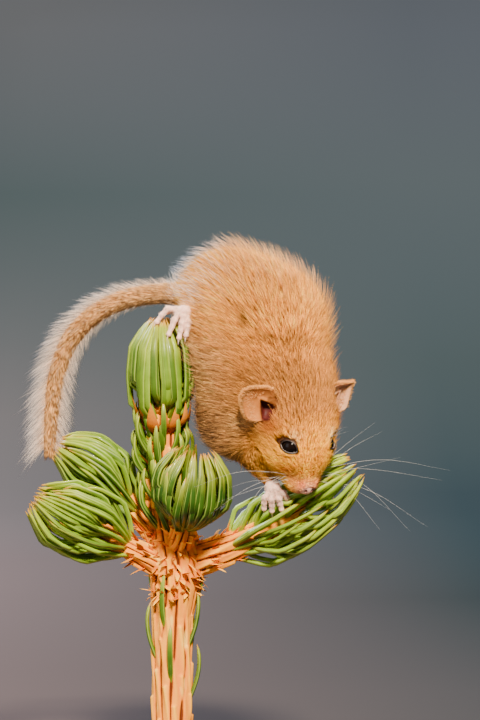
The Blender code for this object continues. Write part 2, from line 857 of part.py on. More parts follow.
class Shoot:
    """A side shoot of the leader: a twig, and needles that close over it like a fist."""

    def __init__(self, name, line, foot, wood, twig_radii, bulge, close, needles, length):
        self.name = name
        self.line = bent_line(line, 41)
        self.foot = foot
        self.wood = wood
        self.twig_radii = twig_radii
        self.bulge = bulge
        self.close = close
        self.needles = needles
        self.length = length
        self.whole = np.linalg.norm(np.diff(self.line, axis=0), axis=1).sum()

    def at(self, share):
        """A point of the shoot's line, by its share from foot to needle tips."""
        places = np.linspace(0, 1, len(self.line))
        return np.array([np.interp(share, places, self.line[:, k]) for k in range(3)])

    def way(self, share):
        """The line's direction there."""
        return unit(self.at(min(share + 0.02, 1)) - self.at(max(min(share, 1) - 0.02, 0)))

    def twig_tube(self, name, start, end):
        """The twig between two shares of the line, its ends square to the line."""
        points, radii = [], []
        shares = np.linspace(start, end, 4)
        for k, share in enumerate(shares):
            points.append(self.at(share))
            radii.append(self.twig_radius(share))
            if k in (0, len(shares) - 1):
                inward = self.way(share) * (0.4 if k == 0 else -0.4)
                points.insert(len(points) - (k > 0), self.at(share) + inward)
                radii.append(radii[-1])
        return tube(name, points, radii, 3)

    def twig_radius(self, share):
        """The twig's radius there."""
        low, high = self.twig_radii
        return low + (high - low) * min(share / self.wood, 1)

    def stub(self):
        """The twig's foot, which belongs to the stem."""
        return self.twig_tube("stub", 0.0, self.foot)

    def reach(self, share):
        """How far the outer needles stand off the line there."""
        along = (share - self.foot) / (1 - self.foot)
        ratios = (0.7, 0.94, 1.0, 0.92, self.close / self.bulge)
        return self.bulge * float(np.interp(along, (0, 0.2, 0.5, 0.75, 1.0), ratios))

    def needle_line(self, draw, index):
        """One needle's bent line, from inside the twig to its tip, before it is bent clear."""
        first = self.foot + 1.5 / self.whole
        root = first + (self.wood - first) * draw.random()
        outer = index % 3 != 2
        length = self.length * draw.uniform(0.86, 1.08)
        last = min(root + length / self.whole, 1.0 if outer else 0.97)
        depth = draw.uniform(0.9, 1.0) if outer else draw.uniform(0.5, 0.72)
        turn = index * GOLDEN_ANGLE + draw.uniform(-0.1, 0.1)
        lean = draw.uniform(-0.18, 0.18)
        side = unit(np.cross(self.way(0.5), (0.12, 0.9, 0.34)))
        points = []
        for step in np.linspace(0, 1, NEEDLE_STEPS):
            share = root + (last - root) * step
            way = self.way(share)
            across = unit(side - way * (side @ way))
            spoke = math.cos(turn + lean * step) * across + math.sin(turn + lean * step) * np.cross(way, across)
            rise = min(1.0, 2.6 * step) ** 0.7
            near = self.twig_radius(share) * 0.6
            points.append(self.at(share) + spoke * (near + (self.reach(share) * depth - near) * rise))
        return np.array(points)

    def build(self, room):
        """The twig with its needles as one node, bent clear of what is in the room."""
        draw = random.Random(self.name)
        pieces = [self.twig_tube(self.name, self.foot + GAP / self.whole, self.wood)]
        for index in range(self.needles):
            line = room.bent_clear(self.name, self.needle_line(draw, index), NEEDLE_WIDTH)
            if line is None:
                continue
            room.fill(self.name, line, NEEDLE_WIDTH)
            middle = self.at(0.5 * (self.foot + 1))
            pieces.append(needle(line, line[len(line) // 2] - middle))
        return dress(drop_slivers(fuse(self.name, pieces)), NEEDLES)


SHOOTS = [
    Shoot(
        "perch_shoot_top",
        [(-8.4, 1.4, 66.0), (-8.8, 1.3, 84.0), (-9.0, 0.5, 98.0), (-8.9, -0.4, 110.3)],
        0.41,
        0.62,
        (3.4, 2.0),
        7.5,
        3.0,
        23,
        25,
    ),
    Shoot(
        "perch_shoot_front",
        [(-5.0, -1.0, 57.0), (-3.8, -6.8, 61.5), (-2.2, -10.6, 69.0), (-0.8, -12.8, 80.5)],
        0.22,
        0.55,
        (3.4, 2.0),
        9.0,
        6.4,
        23,
        20,
    ),
    Shoot(
        "perch_shoot_left_low",
        [(-8.0, 0.4, 52.0), (-15.0, -1.8, 56.0), (-23.0, -3.8, 60.5), (-31.0, -5.4, 64.5), (-38.5, -6.4, 69.0)],
        0.22,
        0.6,
        (3.6, 2.0),
        8.8,
        3.4,
        23,
        20,
    ),
    Shoot(
        "perch_shoot_left_high",
        [(-8.0, 3.2, 57.0), (-15.6, 4.6, 65.5), (-22.6, 5.4, 73.0), (-28.6, 5.6, 77.5), (-33.6, 5.6, 80.2)],
        0.24,
        0.6,
        (3.2, 1.8),
        7.8,
        3.2,
        23,
        20,
    ),
    Shoot(
        "perch_shoot_right",
        [(-2.0, 1.0, 53.5), (8.0, 0.4, 57.0), (18.0, -0.4, 61.5), (27.0, -1.0, 66.4), (36.6, -1.6, 72.6)],
        0.18,
        0.72,
        (3.8, 1.8),
        8.4,
        6.6,
        28,
        19,
    ),
]


STEM_LINE = bent_line([STEM_FOOT, (-6.4, 1.0, 40.0), WHORL_AT, (-8.4, 1.4, 67.0)], 9)


LEADER_LINE = np.vstack([STEM_LINE, SHOOTS[0].line[2:]])


def stem_radius(height):
    """The stem's mean radius at this height."""
    share = (height - STEM_FOOT[2]) / (STEM_LINE[-1][2] - STEM_FOOT[2])
    return STEM_RADIUS * float(np.interp(share, (0, 0.5, 0.72, 0.85, 1.0), (1, 1.02, 1.35, 1.2, 0.72)))


def stem_tube(name):
    """The length of stem below the side shoots, its bark in long ridges."""
    made = tube(name, STEM_LINE, [stem_radius(z) for z in STEM_LINE[:, 2]], 5)
    for vert in made.data.vertices:
        place = np.array(vert.co) / MM
        middle = np.array([np.interp(place[2], STEM_LINE[:, 2], STEM_LINE[:, k]) for k in (0, 1)])
        out = place[:2] - middle
        if np.linalg.norm(out) < 1:
            continue
        turn = math.atan2(out[1], out[0])
        ridge = 0.3 * math.sin(7 * turn + 0.06 * place[2]) + 0.18 * math.sin(3 * turn - 0.09 * place[2])
        place[:2] += unit(out) * ridge
        vert.co = place * MM
    return made


LEADER_NEEDLES = 12
STRAY_NEEDLES = 7
WHORL_SCALES = 12


def stem_needle(room, draw, index, height, climb, spread):
    """A needle or scale rooted in the stem: how far it climbs and how far it stands off."""
    turn = index * GOLDEN_ANGLE + draw.uniform(-0.2, 0.2)
    spoke = np.array([math.cos(turn), math.sin(turn), 0.0])
    points = []
    for step in np.linspace(0, 1, NEEDLE_STEPS):
        z = height + climb * step
        middle = np.array([np.interp(z, LEADER_LINE[:, 2], LEADER_LINE[:, k]) for k in (0, 1)] + [z])
        near = (stem_radius(min(height, STEM_LINE[-1][2])) if height < 62 else 3.4) * 0.75
        points.append(middle + spoke * (near + spread * math.sin(2.2 * step)))
    line = room.bent_clear("perch_stem", np.array(points), NEEDLE_WIDTH)
    if line is None:
        return None
    room.fill("perch_stem", line, NEEDLE_WIDTH)
    return needle(line, spoke, SCALE_TAPER if abs(climb) < 4 else NEEDLE_TAPER)


def stem(room):
    """The leader's stem from its cut foot to the whorl, with the feet of its side shoots."""
    pieces = [stem_tube("perch_stem")]
    pieces += [shoot.stub() for shoot in SHOOTS]
    draw = random.Random(5)
    for index in range(LEADER_NEEDLES):
        height = draw.uniform(64.0, 76.0)
        pieces.append(stem_needle(room, draw, index, height, 12.5, 4.6))
    for index in range(STRAY_NEEDLES):
        height = 30.0 + 24.0 * index / STRAY_NEEDLES
        pieces.append(stem_needle(room, draw, index, height, -15.0, 2.2))
    for index in range(WHORL_SCALES):
        height = draw.uniform(50.0, 59.0)
        pieces.append(stem_needle(room, draw, index, height, draw.uniform(-3.5, 1.5), 4.0))
    return dress(drop_slivers(fuse("perch_stem", [piece for piece in pieces if piece])), BARK)


def stand():
    """A flat board with rounded corners, and one rod up to the stem's cut foot."""

    def board(shape):
        bmesh.ops.create_cube(
            shape,
            size=1.0,
            matrix=Matrix.Translation((0, 0, STAND_HEIGHT / 2))
            @ Matrix.Diagonal((STAND_LENGTH, STAND_DEPTH, STAND_HEIGHT, 1)),
        )
        upright = [edge for edge in shape.edges if abs(edge.verts[0].co.z - edge.verts[1].co.z) > 1]
        bmesh.ops.bevel(
            shape, geom=upright, offset=STAND_CORNER, segments=6, profile=0.5, affect="EDGES"
        )
        rim = [
            edge
            for edge in shape.edges
            if all(vert.co.z > STAND_HEIGHT - 0.01 for vert in edge.verts)
            and len({round(face.normal.z) for face in edge.link_faces}) > 1
        ]
        bmesh.ops.bevel(shape, geom=rim, offset=0.8, segments=2, profile=0.5, affect="EDGES")

    dress(mesh_object("stand_base", board), WOOD)
    low = np.array([STEM_FOOT[0], STEM_FOOT[1], STAND_HEIGHT + GAP])
    high = STEM_FOOT - (0, 0, GAP)
    dress(tube("stand_rod", [low, high], ROD_RADIUS, 6), STEEL)


def dress(obj, finish):
    """Gives a finished node its material and shading, and puts it in the part's collection."""
    collection(CUTTER_COLLECTION).objects.unlink(obj)
    collection(PART_COLLECTION).objects.link(obj)
    obj.data.materials.clear()
    obj.data.materials.append(material(*finish))
    obj.data.polygons.foreach_set("use_smooth", [True] * len(obj.data.polygons))
    obj.data.set_sharp_from_angle(angle=math.radians(40))
    return obj


FUR = ("fur", (0.52, 0.27, 0.10), 0.8)
BARE_SKIN = ("bare_skin", (0.72, 0.42, 0.36), 0.5)
EYE_BLACK = ("eye_black", (0.01, 0.008, 0.008), 0.05)
NEEDLES = ("needles", (0.12, 0.27, 0.04), 0.45)
BARK = ("bark", (0.50, 0.25, 0.10), 0.75)
WOOD = ("stand_wood", (0.18, 0.10, 0.05), 0.4)
STEEL = ("stand_steel", (0.55, 0.55, 0.56), 0.3, 1.0)


def body():
    """The animal, modelled whole and parted into its nodes by thin cuts."""
    clear = flesh_mesh("clear_of_flesh", GAP + 0.05, 0.7, 12000)
    fine = flesh_mesh("fine", 0.0, 0.62, 3400)
    whole = flesh_mesh("torso", 0.0, 0.7, 1100)
    head_balls = [(on_head(-1.4, 0, 1.0), 10.8), (on_head(12.5, 0, -1.8), 7.2)]
    head = cut_out(fine, "head", head_balls)
    remove(fine)
    remove(cut_out(whole, "spare_head", head_balls))
    parts = [
        cut_out(whole, "hindleg_right", [((3.4, -4.0, 103.4), 8.2), ((0.6, -1.6, 110.6), 3.6)]),
        cut_out(whole, "hindleg_left", [((8.0, 10.6, 103.4), 8.6), ((-0.8, 10.0, 104.4), 3.6)]),
        cut_out(whole, "foreleg_right", [((7.0, -4.6, 84.6), 7.4), ((16.2, -7.2, 72.8), 3.4)]),
        cut_out(whole, "foreleg_left", [((20.6, 5.2, 84.0), 7.6), ((27.6, -0.8, 74.4), 2.8)]),
        cut_out(whole, "neck", [((19.6, -6.6, 91.4), 13.2)]),
    ]
    keep_largest(whole)
    face_details(head)
    for part in [whole, head, *parts]:
        dress(part, FUR)
    for side, name in ((1, "left"), (-1, "right")):
        dress(ear(side, clear), BARE_SKIN)
        centre = on_head(*mirrored(EYE_AT, side))
        dress(ball("eye_" + name, centre, EYE_RADIUS, None, 14, 8), EYE_BLACK)
    for paw in PAWS:
        dress(paw.build(clear), BARE_SKIN)
    tail(clear)
    remove(clear)


def main():
    """Clears the scene and builds every node."""
    for obj in list(bpy.data.objects):
        bpy.data.objects.remove(obj)
    body()
    room = Room()
    for paw in PAWS:
        room.fill(paw.name, [paw.palm, paw.palm + 0.1], max(paw.palm_radii))
        for path in paw.paths():
            claw = path[-1] + unit(path[-1] - path[-2]) * 1.1 + CLAW_DROP
            room.fill(paw.name, [*path, claw], DIGIT_RADIUS + 0.05)
    room.fill("tail", TAIL_LINE, [tail_reach(s) for s in np.linspace(0, 1, TAIL_STATIONS)])
    room.fill("perch_stem", STEM_LINE, [stem_radius(z) + 0.5 for z in STEM_LINE[:, 2]])
    for shoot in SHOOTS:
        foot = [shoot.at(s) for s in np.linspace(0, shoot.foot, 5)]
        room.fill("perch_stem", foot[:-1], shoot.twig_radius(0))
        twig = [shoot.at(s) for s in np.linspace(shoot.foot + 0.04, shoot.wood, 5)]
        room.fill(shoot.name, twig, shoot.twig_radius(shoot.foot))
    stem(room)
    for shoot in SHOOTS:
        shoot.build(room)
    stand()


main()
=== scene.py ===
"""Looks of the life-size hazel dormouse model: skin, coat, eyes, claws, whiskers, spruce shoot and stand.

Lengths are in millimetres until a mesh is made. X runs to the viewer's right, Y away from the viewer, Z up.
"""

import logging
import math
import random
from collections.abc import Callable, Sequence
from dataclasses import dataclass, field
from enum import Enum
from functools import cached_property

import bmesh
import bpy
import numpy as np
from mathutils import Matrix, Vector
from mathutils.bvhtree import BVHTree
from mathutils.kdtree import KDTree

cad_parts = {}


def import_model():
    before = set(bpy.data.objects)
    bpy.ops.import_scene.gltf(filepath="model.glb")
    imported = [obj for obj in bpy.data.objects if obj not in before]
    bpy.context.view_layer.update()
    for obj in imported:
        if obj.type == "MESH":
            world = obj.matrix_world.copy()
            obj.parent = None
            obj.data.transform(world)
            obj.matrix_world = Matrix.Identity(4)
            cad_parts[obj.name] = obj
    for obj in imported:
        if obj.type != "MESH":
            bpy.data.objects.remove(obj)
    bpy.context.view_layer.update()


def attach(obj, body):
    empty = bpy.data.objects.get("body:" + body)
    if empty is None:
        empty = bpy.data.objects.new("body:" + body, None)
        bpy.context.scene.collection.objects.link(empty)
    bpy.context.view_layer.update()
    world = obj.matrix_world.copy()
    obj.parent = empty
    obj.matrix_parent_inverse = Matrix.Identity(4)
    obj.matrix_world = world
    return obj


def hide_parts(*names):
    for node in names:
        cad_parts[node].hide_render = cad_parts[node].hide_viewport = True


LOG = logging.getLogger("dormouse")
Array = np.ndarray
Colour = tuple[float, float, float]
Place = tuple[float, float, float]
Piece = bpy.types.Object
Material = bpy.types.Material
Socket = bpy.types.NodeSocket

MM = 0.001
GOLDEN_ANGLE = math.radians(137.508)
ROOT_BODY = "root"


class Side(Enum):
    """A side of the animal, as the sign of its leftward direction."""

    LEFT = 1
    RIGHT = -1

    @property
    def word(self) -> str:
        """The side's name in node names."""
        return self.name.lower()

    def of(self, local: Place) -> Place:
        """A place or direction of the head, given for the left, on this side."""
        return local[0], local[1] * self.value, local[2]


def unit(vector: Sequence[float] | Array) -> Array:
    """The vector, or each row of vectors, at length one."""
    vector = np.asarray(vector, float)
    return vector / np.maximum(np.linalg.norm(vector, axis=-1, keepdims=True), 1e-9)


def dots(first: Array, second: Array) -> Array:
    """The dot product of each row with its partner."""
    return (first * second).sum(axis=-1)


def full_turn(count: int) -> Array:
    """Angles at equal steps once round."""
    return np.linspace(0, 2 * math.pi, count, endpoint=False)


def gaps(points: Array, place: Array | Place) -> Array:
    """How far each point is from the place."""
    return np.linalg.norm(points - place, axis=1)


def least_gaps(points: Array, others: Array) -> Array:
    """How far each point is from the nearest of the others."""
    return np.linalg.norm(points[:, None] - others, axis=2).min(axis=1)


def bent_line(points: Sequence[Sequence[float]] | Array, count: int) -> Array:
    """Points at equal steps on a smooth line through the given ones.

    Args:
        points: The points that the line passes through.
        count: How many points to return.

    Returns:
        The points, one a row.
    """
    points = np.asarray(points, float)
    padded = np.vstack([2 * points[0] - points[1], points, 2 * points[-1] - points[-2]])
    line = []
    for span in np.linspace(0, len(points) - 1, 24 * (len(points) - 1) + 1):
        i = min(int(span), len(points) - 2)
        t = span - i
        a, b, c, d = padded[i : i + 4]
        cubic = 3 * b - a - 3 * c + d
        line.append(0.5 * (2 * b + (c - a) * t + (2 * a - 5 * b + 4 * c - d) * t**2 + cubic * t**3))
    return evenly(np.array(line), count)


def evenly(line: Array, count: int) -> Array:
    """A line read again at so many equal steps."""
    reach = np.concatenate([[0], np.cumsum(np.linalg.norm(np.diff(line, axis=0), axis=1))])
    wanted = np.linspace(0, reach[-1], count)
    return np.array([np.interp(wanted, reach, line[:, k]) for k in range(3)]).T


def ripple(points: Array, scale: float, seed: float) -> Array:
    """A smooth value between about -1 and 1 that wanders over the points.

    Args:
        points: Places in millimetres.
        scale: The rough size of its bumps in millimetres.
        seed: Shifts the pattern.

    Returns:
        One value for each point.
    """
    x, y, z = (points / scale * 2.2 + seed).T
    first, second = np.sin(x + 1.7 * np.sin(y + seed)), np.sin(1.3 * y + 1.9 * np.sin(z))
    return (first + second + np.sin(1.1 * z + 2.1 * np.sin(x))) / 3


# The head's frame.


@dataclass(frozen=True)
class HeadFrame:
    """Where the head is, and its own directions: noseward, the animal's left, and crownward."""

    at: Place = (22.4, -9.5, 87.0)
    noseward: Place = (0.20, -0.22, -0.95)
    crownward: Place = (0.45, -0.85, 0.29)

    @cached_property
    def axes(self) -> Array:
        """Rows of the directions, square to each other."""
        nose = unit(self.noseward)
        crown = np.array(self.crownward)
        crown = unit(crown - nose * (crown @ nose))
        return np.array([nose, np.cross(crown, nose), crown])

    def place(self, noseward: float, left: float, crownward: float) -> Array:
        """A point given in the head's directions, in the part's frame."""
        return np.array(self.at) + self.way(noseward, left, crownward)

    def way(self, noseward: float, left: float, crownward: float) -> Array:
        """A direction given in the head's directions, in the part's frame."""
        return np.array([noseward, left, crownward]) @ self.axes

    def local(self, points: Array) -> Array:
        """Points of the part's frame in the head's directions."""
        return (points - np.array(self.at)) @ self.axes.T


HEAD = HeadFrame()


# The flesh as forms that run into each other.


@dataclass(frozen=True)
class Lobe:
    """A rounded mass of flesh, turned with the head where it belongs to it."""

    centre: Place
    radii: Place
    blend: float = 4.0
    on_head: bool = False

    @cached_property
    def middle(self) -> Array:
        """Its centre in the part's frame."""
        return HEAD.place(*self.centre) if self.on_head else np.array(self.centre, float)

    @cached_property
    def axes(self) -> Array:
        """Rows of its own directions."""
        return HEAD.axes if self.on_head else np.eye(3)

    def distance(self, points: Array) -> Array:
        """How far each point is outside it."""
        local = (points - self.middle) @ self.axes.T
        radii = np.array(self.radii)
        near = np.linalg.norm(local / radii, axis=1)
        steep = np.linalg.norm(local / radii**2, axis=1)
        return near * (near - 1) / np.maximum(steep, 1e-9)

    def balls(self) -> list[tuple[Array, Array]]:
        """The balls that fill it."""
        return [(self.middle, np.array(self.radii, float))]


@dataclass(frozen=True)
class Limb:
    """A length of flesh that tapers from one ball to another."""

    start: Place
    start_radius: float
    end: Place
    end_radius: float
    blend: float = 2.0
    on_head: bool = False

    @cached_property
    def ends(self) -> tuple[Array, Array]:
        """Both ends in the part's frame."""
        if self.on_head:
            return HEAD.place(*self.start), HEAD.place(*self.end)
        return np.array(self.start, float), np.array(self.end, float)

    def distance(self, points: Array) -> Array:
        """How far each point is outside it."""
        start, end = self.ends
        along = end - start
        share = np.clip((points - start) @ along / (along @ along), 0, 1)
        radius = self.start_radius + (self.end_radius - self.start_radius) * share
        return np.linalg.norm(points - start - share[:, None] * along, axis=1) - radius

    def balls(self) -> list[tuple[Array, Array]]:
        """The balls that fill it."""
        start, end = self.ends
        count = 1 + math.ceil(np.linalg.norm(end - start) / (0.5 * self.end_radius))
        radii = np.linspace(self.start_radius, self.end_radius, count)
        return [(start + (end - start) * s, np.full(3, r)) for s, r in zip(np.linspace(0, 1, count), radii)]


Form = Lobe | Limb
Level = Callable[[Array], Array]


class Flesh:
    """A body made of forms that run into each other."""

    CHUNK = 40000

    def __init__(self, forms: Sequence[Form]) -> None:
        """Keeps the forms in the order in which they are blended."""
        self.forms = list(forms)

    def distance(self, points: Array) -> Array:
        """How far each point is outside the body."""
        return np.concatenate(
            [self._near(points[i : i + self.CHUNK]) for i in range(0, len(points), self.CHUNK)]
        )

    def _near(self, points: Array) -> Array:
        """The distance for a handful of points."""
        total = self.forms[0].distance(points)
        for form in self.forms[1:]:
            one = form.distance(points)
            mix = np.clip(0.5 + 0.5 * (one - total) / form.blend, 0, 1)
            total = one + (total - one) * mix - form.blend * mix * (1 - mix)
        return total

    def slope(self, points: Array, step: float = 0.05) -> Array:
        """The direction in which each point leaves the body, by its rate."""
        corners = np.array([(1, -1, -1), (-1, -1, 1), (-1, 1, -1), (1, 1, 1)], float)
        total = np.zeros_like(points)
        for corner in corners:
            total += corner * self.distance(points + corner * step)[:, None]
        return total / (4 * step)

    def settled(self, points: Array, level: Level, rounds: int = 6) -> Array:
        """The points moved to where their distance is what level gives for them."""
        points = np.array(points, float)
        for _ in range(rounds):
            slope = self.slope(points)
            steep = np.maximum(dots(slope, slope), 0.05)
            step = (self.distance(points) - level(points)) / steep
            points -= np.clip(step, -1.0, 1.0)[:, None] * slope
        return points

    def start_mesh(self, name: str, grown: float, voxel: float) -> Piece:
        """The forms' balls remeshed into one closed surface."""
        points, triangles = unit_ball(24, 16)
        balls = []
        for form in self.forms:
            axes = form.axes if isinstance(form, Lobe) else np.eye(3)
            balls += [
                centre + (points * np.maximum(radii + grown, 0.3)) @ axes for centre, radii in form.balls()
            ]
        firsts = len(points) * np.arange(len(balls))[:, None, None]
        made = from_arrays(name, np.concatenate(balls), (triangles[None] + firsts).reshape(-1, 3))
        remesh = made.modifiers.new("skin", "REMESH")
        remesh.mode, remesh.voxel_size = "VOXEL", voxel * MM
        apply_modifiers(made)
        return made


WRIST_RIGHT = (16.4, -7.2, 73.0)
WRIST_LEFT = (27.6, -1.6, 74.6)
ANKLE_RIGHT = (-1.2, -3.4, 111.4)
ANKLE_LEFT = (-1.2, 8.4, 104.6)

DORMOUSE = Flesh(
    [
        Lobe((14.2, -1.0, 108.4), (15.5, 14.4, 15.4)),
        Lobe((6.9, 4.0, 115.0), (11.8, 11.6, 11.6), 5.0),
        Lobe((14.9, -2.5, 95.8), (15.6, 13.4, 14.4), 5.0),
        Lobe((12.5, 4.5, 100.5), (12.0, 11.5, 15.0), 4.0),
        Limb((0.5, 6.4, 115.6), 4.6, (-4.6, 7.0, 116.4), 2.5, 3.0),
        Lobe((20.0, -6.0, 92.0), (11.6, 11.6, 11.6), 4.0),
        # The hind legs: a thigh against the flank and a shank to the ankle.
        Lobe((6.4, -3.2, 104.0), (8.6, 8.4, 9.4), 2.0),
        Limb((4.6, -2.6, 107.6), 4.0, ANKLE_RIGHT, 1.75),
        Lobe((9.4, 9.6, 104.0), (8.4, 7.4, 9.0), 2.0),
        Limb((5.4, 10.4, 104.8), 4.0, ANKLE_LEFT, 1.75),
        # The forelegs: a shoulder and a forearm to the wrist.
        Lobe((8.6, -3.4, 87.2), (9.0, 8.4, 9.2), 3.0),
        Limb((12.0, -5.0, 80.4), 4.6, WRIST_RIGHT, 1.6, 2.5),
        Lobe((17.6, -5.4, 81.4), (6.6, 6.0, 6.4), 3.0),
        Lobe((20.0, 3.0, 86.0), (8.6, 8.0, 9.0), 3.0),
        Limb((23.4, 2.4, 80.0), 4.6, WRIST_LEFT, 1.6, 2.5),
        # The head: skull, face, cheeks, snout, whisker pads, nose and chin.
        Lobe((-0.5, 0, 0.3), (9.8, 9.4, 8.6), 3.0, True),
        Lobe((5.2, 0, -0.8), (7.8, 7.4, 7.0), 2.5, True),
        Lobe((4.6, 3.9, -3.4), (6.0, 4.6, 4.8), 2.5, True),
        Lobe((4.6, -3.9, -3.4), (6.0, 4.6, 4.8), 2.5, True),
        Limb((8.0, 0, -1.7), 5.5, (13.6, 0, -2.6), 3.1, 2.0, True),
        Lobe((12.2, 2.1, -3.6), (3.4, 2.1, 2.3), 1.2, True),
        Lobe((12.2, -2.1, -3.6), (3.4, 2.1, 2.3), 1.2, True),
        Lobe((15.9, 0, -2.1), (1.35, 1.55, 1.25), 1.0, True),
        Lobe((9.8, 0, -5.9), (4.6, 2.7, 1.9), 1.5, True),
    ]
)
NOSE_TIP = HEAD.place(16.6, 0, -2.1)
NOSTRIL = (16.55, 0.78, -1.35)
NOSTRIL_RADII = (0.5, 0.34, 0.46)
JOINTS = np.array([WRIST_RIGHT, WRIST_LEFT, ANKLE_RIGHT, ANKLE_LEFT])


# Small tools for meshes.


def unit_ball(around: int, rings: int) -> tuple[Array, Array]:
    """The points and triangles of a ball of radius one."""
    rise = np.linspace(0, math.pi, rings + 1)[1:-1, None]
    turn = full_turn(around)[None]
    sides = np.sin(rise) * np.cos(turn), np.sin(rise) * np.sin(turn), np.cos(rise) * np.ones_like(turn)
    points = np.concatenate([np.stack(sides, axis=-1).reshape(-1, 3), [(0, 0, 1), (0, 0, -1)]])
    ring = np.arange(around)
    after = (ring + 1) % around
    top, bottom, last = len(points) - 2, len(points) - 1, (rings - 2) * around
    faces = [
        np.array([np.full(around, top), ring, after]).T,
        np.array([np.full(around, bottom), last + after, last + ring]).T,
    ]
    for row in range(rings - 2):
        low, high = row * around, (row + 1) * around
        faces += [
            np.array([low + ring, high + ring, high + after]).T,
            np.array([low + ring, high + after, low + after]).T,
        ]
    return points, np.concatenate(faces)


def from_bmesh(name: str, shape: bmesh.types.BMesh) -> Piece:
    """An object from a mesh in millimetres, faces outward."""
    bmesh.ops.recalc_face_normals(shape, faces=shape.faces)
    bmesh.ops.scale(shape, vec=(MM, MM, MM), verts=shape.verts)
    mesh = bpy.data.meshes.new(name)
    shape.to_mesh(mesh)
    shape.free()
    return linked(name, mesh)


def linked(name: str, mesh: bpy.types.Mesh) -> Piece:
    """An object of this mesh, in the scene."""
    made = bpy.data.objects.new(name, mesh)
    bpy.context.scene.collection.objects.link(made)
    return made


def ball(
    name: str, centre: Array, radii: Array | float, axes: Array | None = None, around: int = 32,
    rings: int = 20,
) -> Piece:
    """An ellipsoid as an object."""
    points, triangles = unit_ball(around, rings)
    return from_arrays(name, centre + (points * radii) @ (np.eye(3) if axes is None else axes), triangles)


def from_arrays(name: str, points: Array, triangles: Array) -> Piece:
    """An object from arrays of points in millimetres and of triangles."""
    mesh = bpy.data.meshes.new(name)
    mesh.vertices.add(len(points))
    mesh.vertices.foreach_set("co", (points * MM).astype(np.float32).ravel())
    mesh.loops.add(triangles.size)
    mesh.loops.foreach_set("vertex_index", triangles.astype(np.int32).ravel())
    mesh.polygons.add(len(triangles))
    mesh.polygons.foreach_set("loop_start", np.arange(0, triangles.size, 3, dtype=np.int32))
    mesh.polygons.foreach_set("use_smooth", np.ones(len(triangles), bool))
    mesh.update(calc_edges=True)
    return linked(name, mesh)


def places_of(obj: Piece) -> Array:
    """The object's vertices in millimetres."""
    points = np.empty(len(obj.data.vertices) * 3, np.float32)
    obj.data.vertices.foreach_get("co", points)
    return points.reshape(-1, 3).astype(float) / MM


def set_places(obj: Piece, points: Array) -> None:
    """Moves the object's vertices to these places."""
    obj.data.vertices.foreach_set("co", (points * MM).astype(np.float32).ravel())
    obj.data.update()


def normals_of(obj: Piece) -> Array:
    """The normal at each vertex."""
    found = np.empty(len(obj.data.vertices) * 3, np.float32)
    obj.data.vertex_normals.foreach_get("vector", found)
    return found.reshape(-1, 3).astype(float)


def triangles_of(mesh: bpy.types.Mesh) -> Array:
    """The mesh's triangles as rows of vertex numbers."""
    mesh.calc_loop_triangles()
    found = np.empty(len(mesh.loop_triangles) * 3, np.int32)
    mesh.loop_triangles.foreach_get("vertices", found)
    return found.reshape(-1, 3)


def apply_modifiers(obj: Piece) -> None:
    """Makes the object's modifiers part of its mesh."""
    graph = bpy.context.evaluated_depsgraph_get()
    mesh = bpy.data.meshes.new_from_object(obj.evaluated_get(graph))
    old, obj.data = obj.data, mesh
    obj.modifiers.clear()
    bpy.data.meshes.remove(old)


def discard(obj: Piece) -> None:
    """Takes an object and its mesh away."""
    mesh = obj.data
    bpy.data.objects.remove(obj)
    bpy.data.meshes.remove(mesh)


def combine(obj: Piece, other: Piece, operation: str) -> None:
    """Joins another closed mesh to the object or cuts it out, and takes the other away."""
    join = obj.modifiers.new("combine", "BOOLEAN")
    join.operation, join.solver, join.object = operation, "MANIFOLD", other
    apply_modifiers(obj)
    discard(other)


def smooth(obj: Piece, angle: float = 60.0) -> None:
    """Smooth shading, but for edges sharper than the angle."""
    obj.data.polygons.foreach_set("use_smooth", np.ones(len(obj.data.polygons), bool))
    obj.data.set_sharp_from_angle(angle=math.radians(angle))


def paint(obj: Piece, tints: Array) -> None:
    """Gives each vertex its own colour, in the attribute that the finishes read."""
    rows = np.concatenate([tints, np.ones((len(tints), 1))], axis=1).astype(np.float32)
    layer = obj.data.color_attributes.new("tint", "FLOAT_COLOR", "POINT")
    layer.data.foreach_set("color", rows.ravel())


def dress(obj: Piece, finish: Material, slot: str, *nodes: str) -> Piece:
    """Gives a finished piece its material, its body and the nodes that it stands for.

    Args:
        obj: The piece.
        finish: Its material.
        slot: Not used.
        nodes: The solids' nodes that it replaces.

    Returns:
        The piece.
    """
    obj.data.materials.clear()
    obj.data.materials.append(finish)
    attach(obj, ROOT_BODY)
    if nodes:
        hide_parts(*nodes)
    obj.data.calc_loop_triangles()
    LOG.info("%s: %d triangles", obj.name, len(obj.data.loop_triangles))
    return obj


# Finishes.


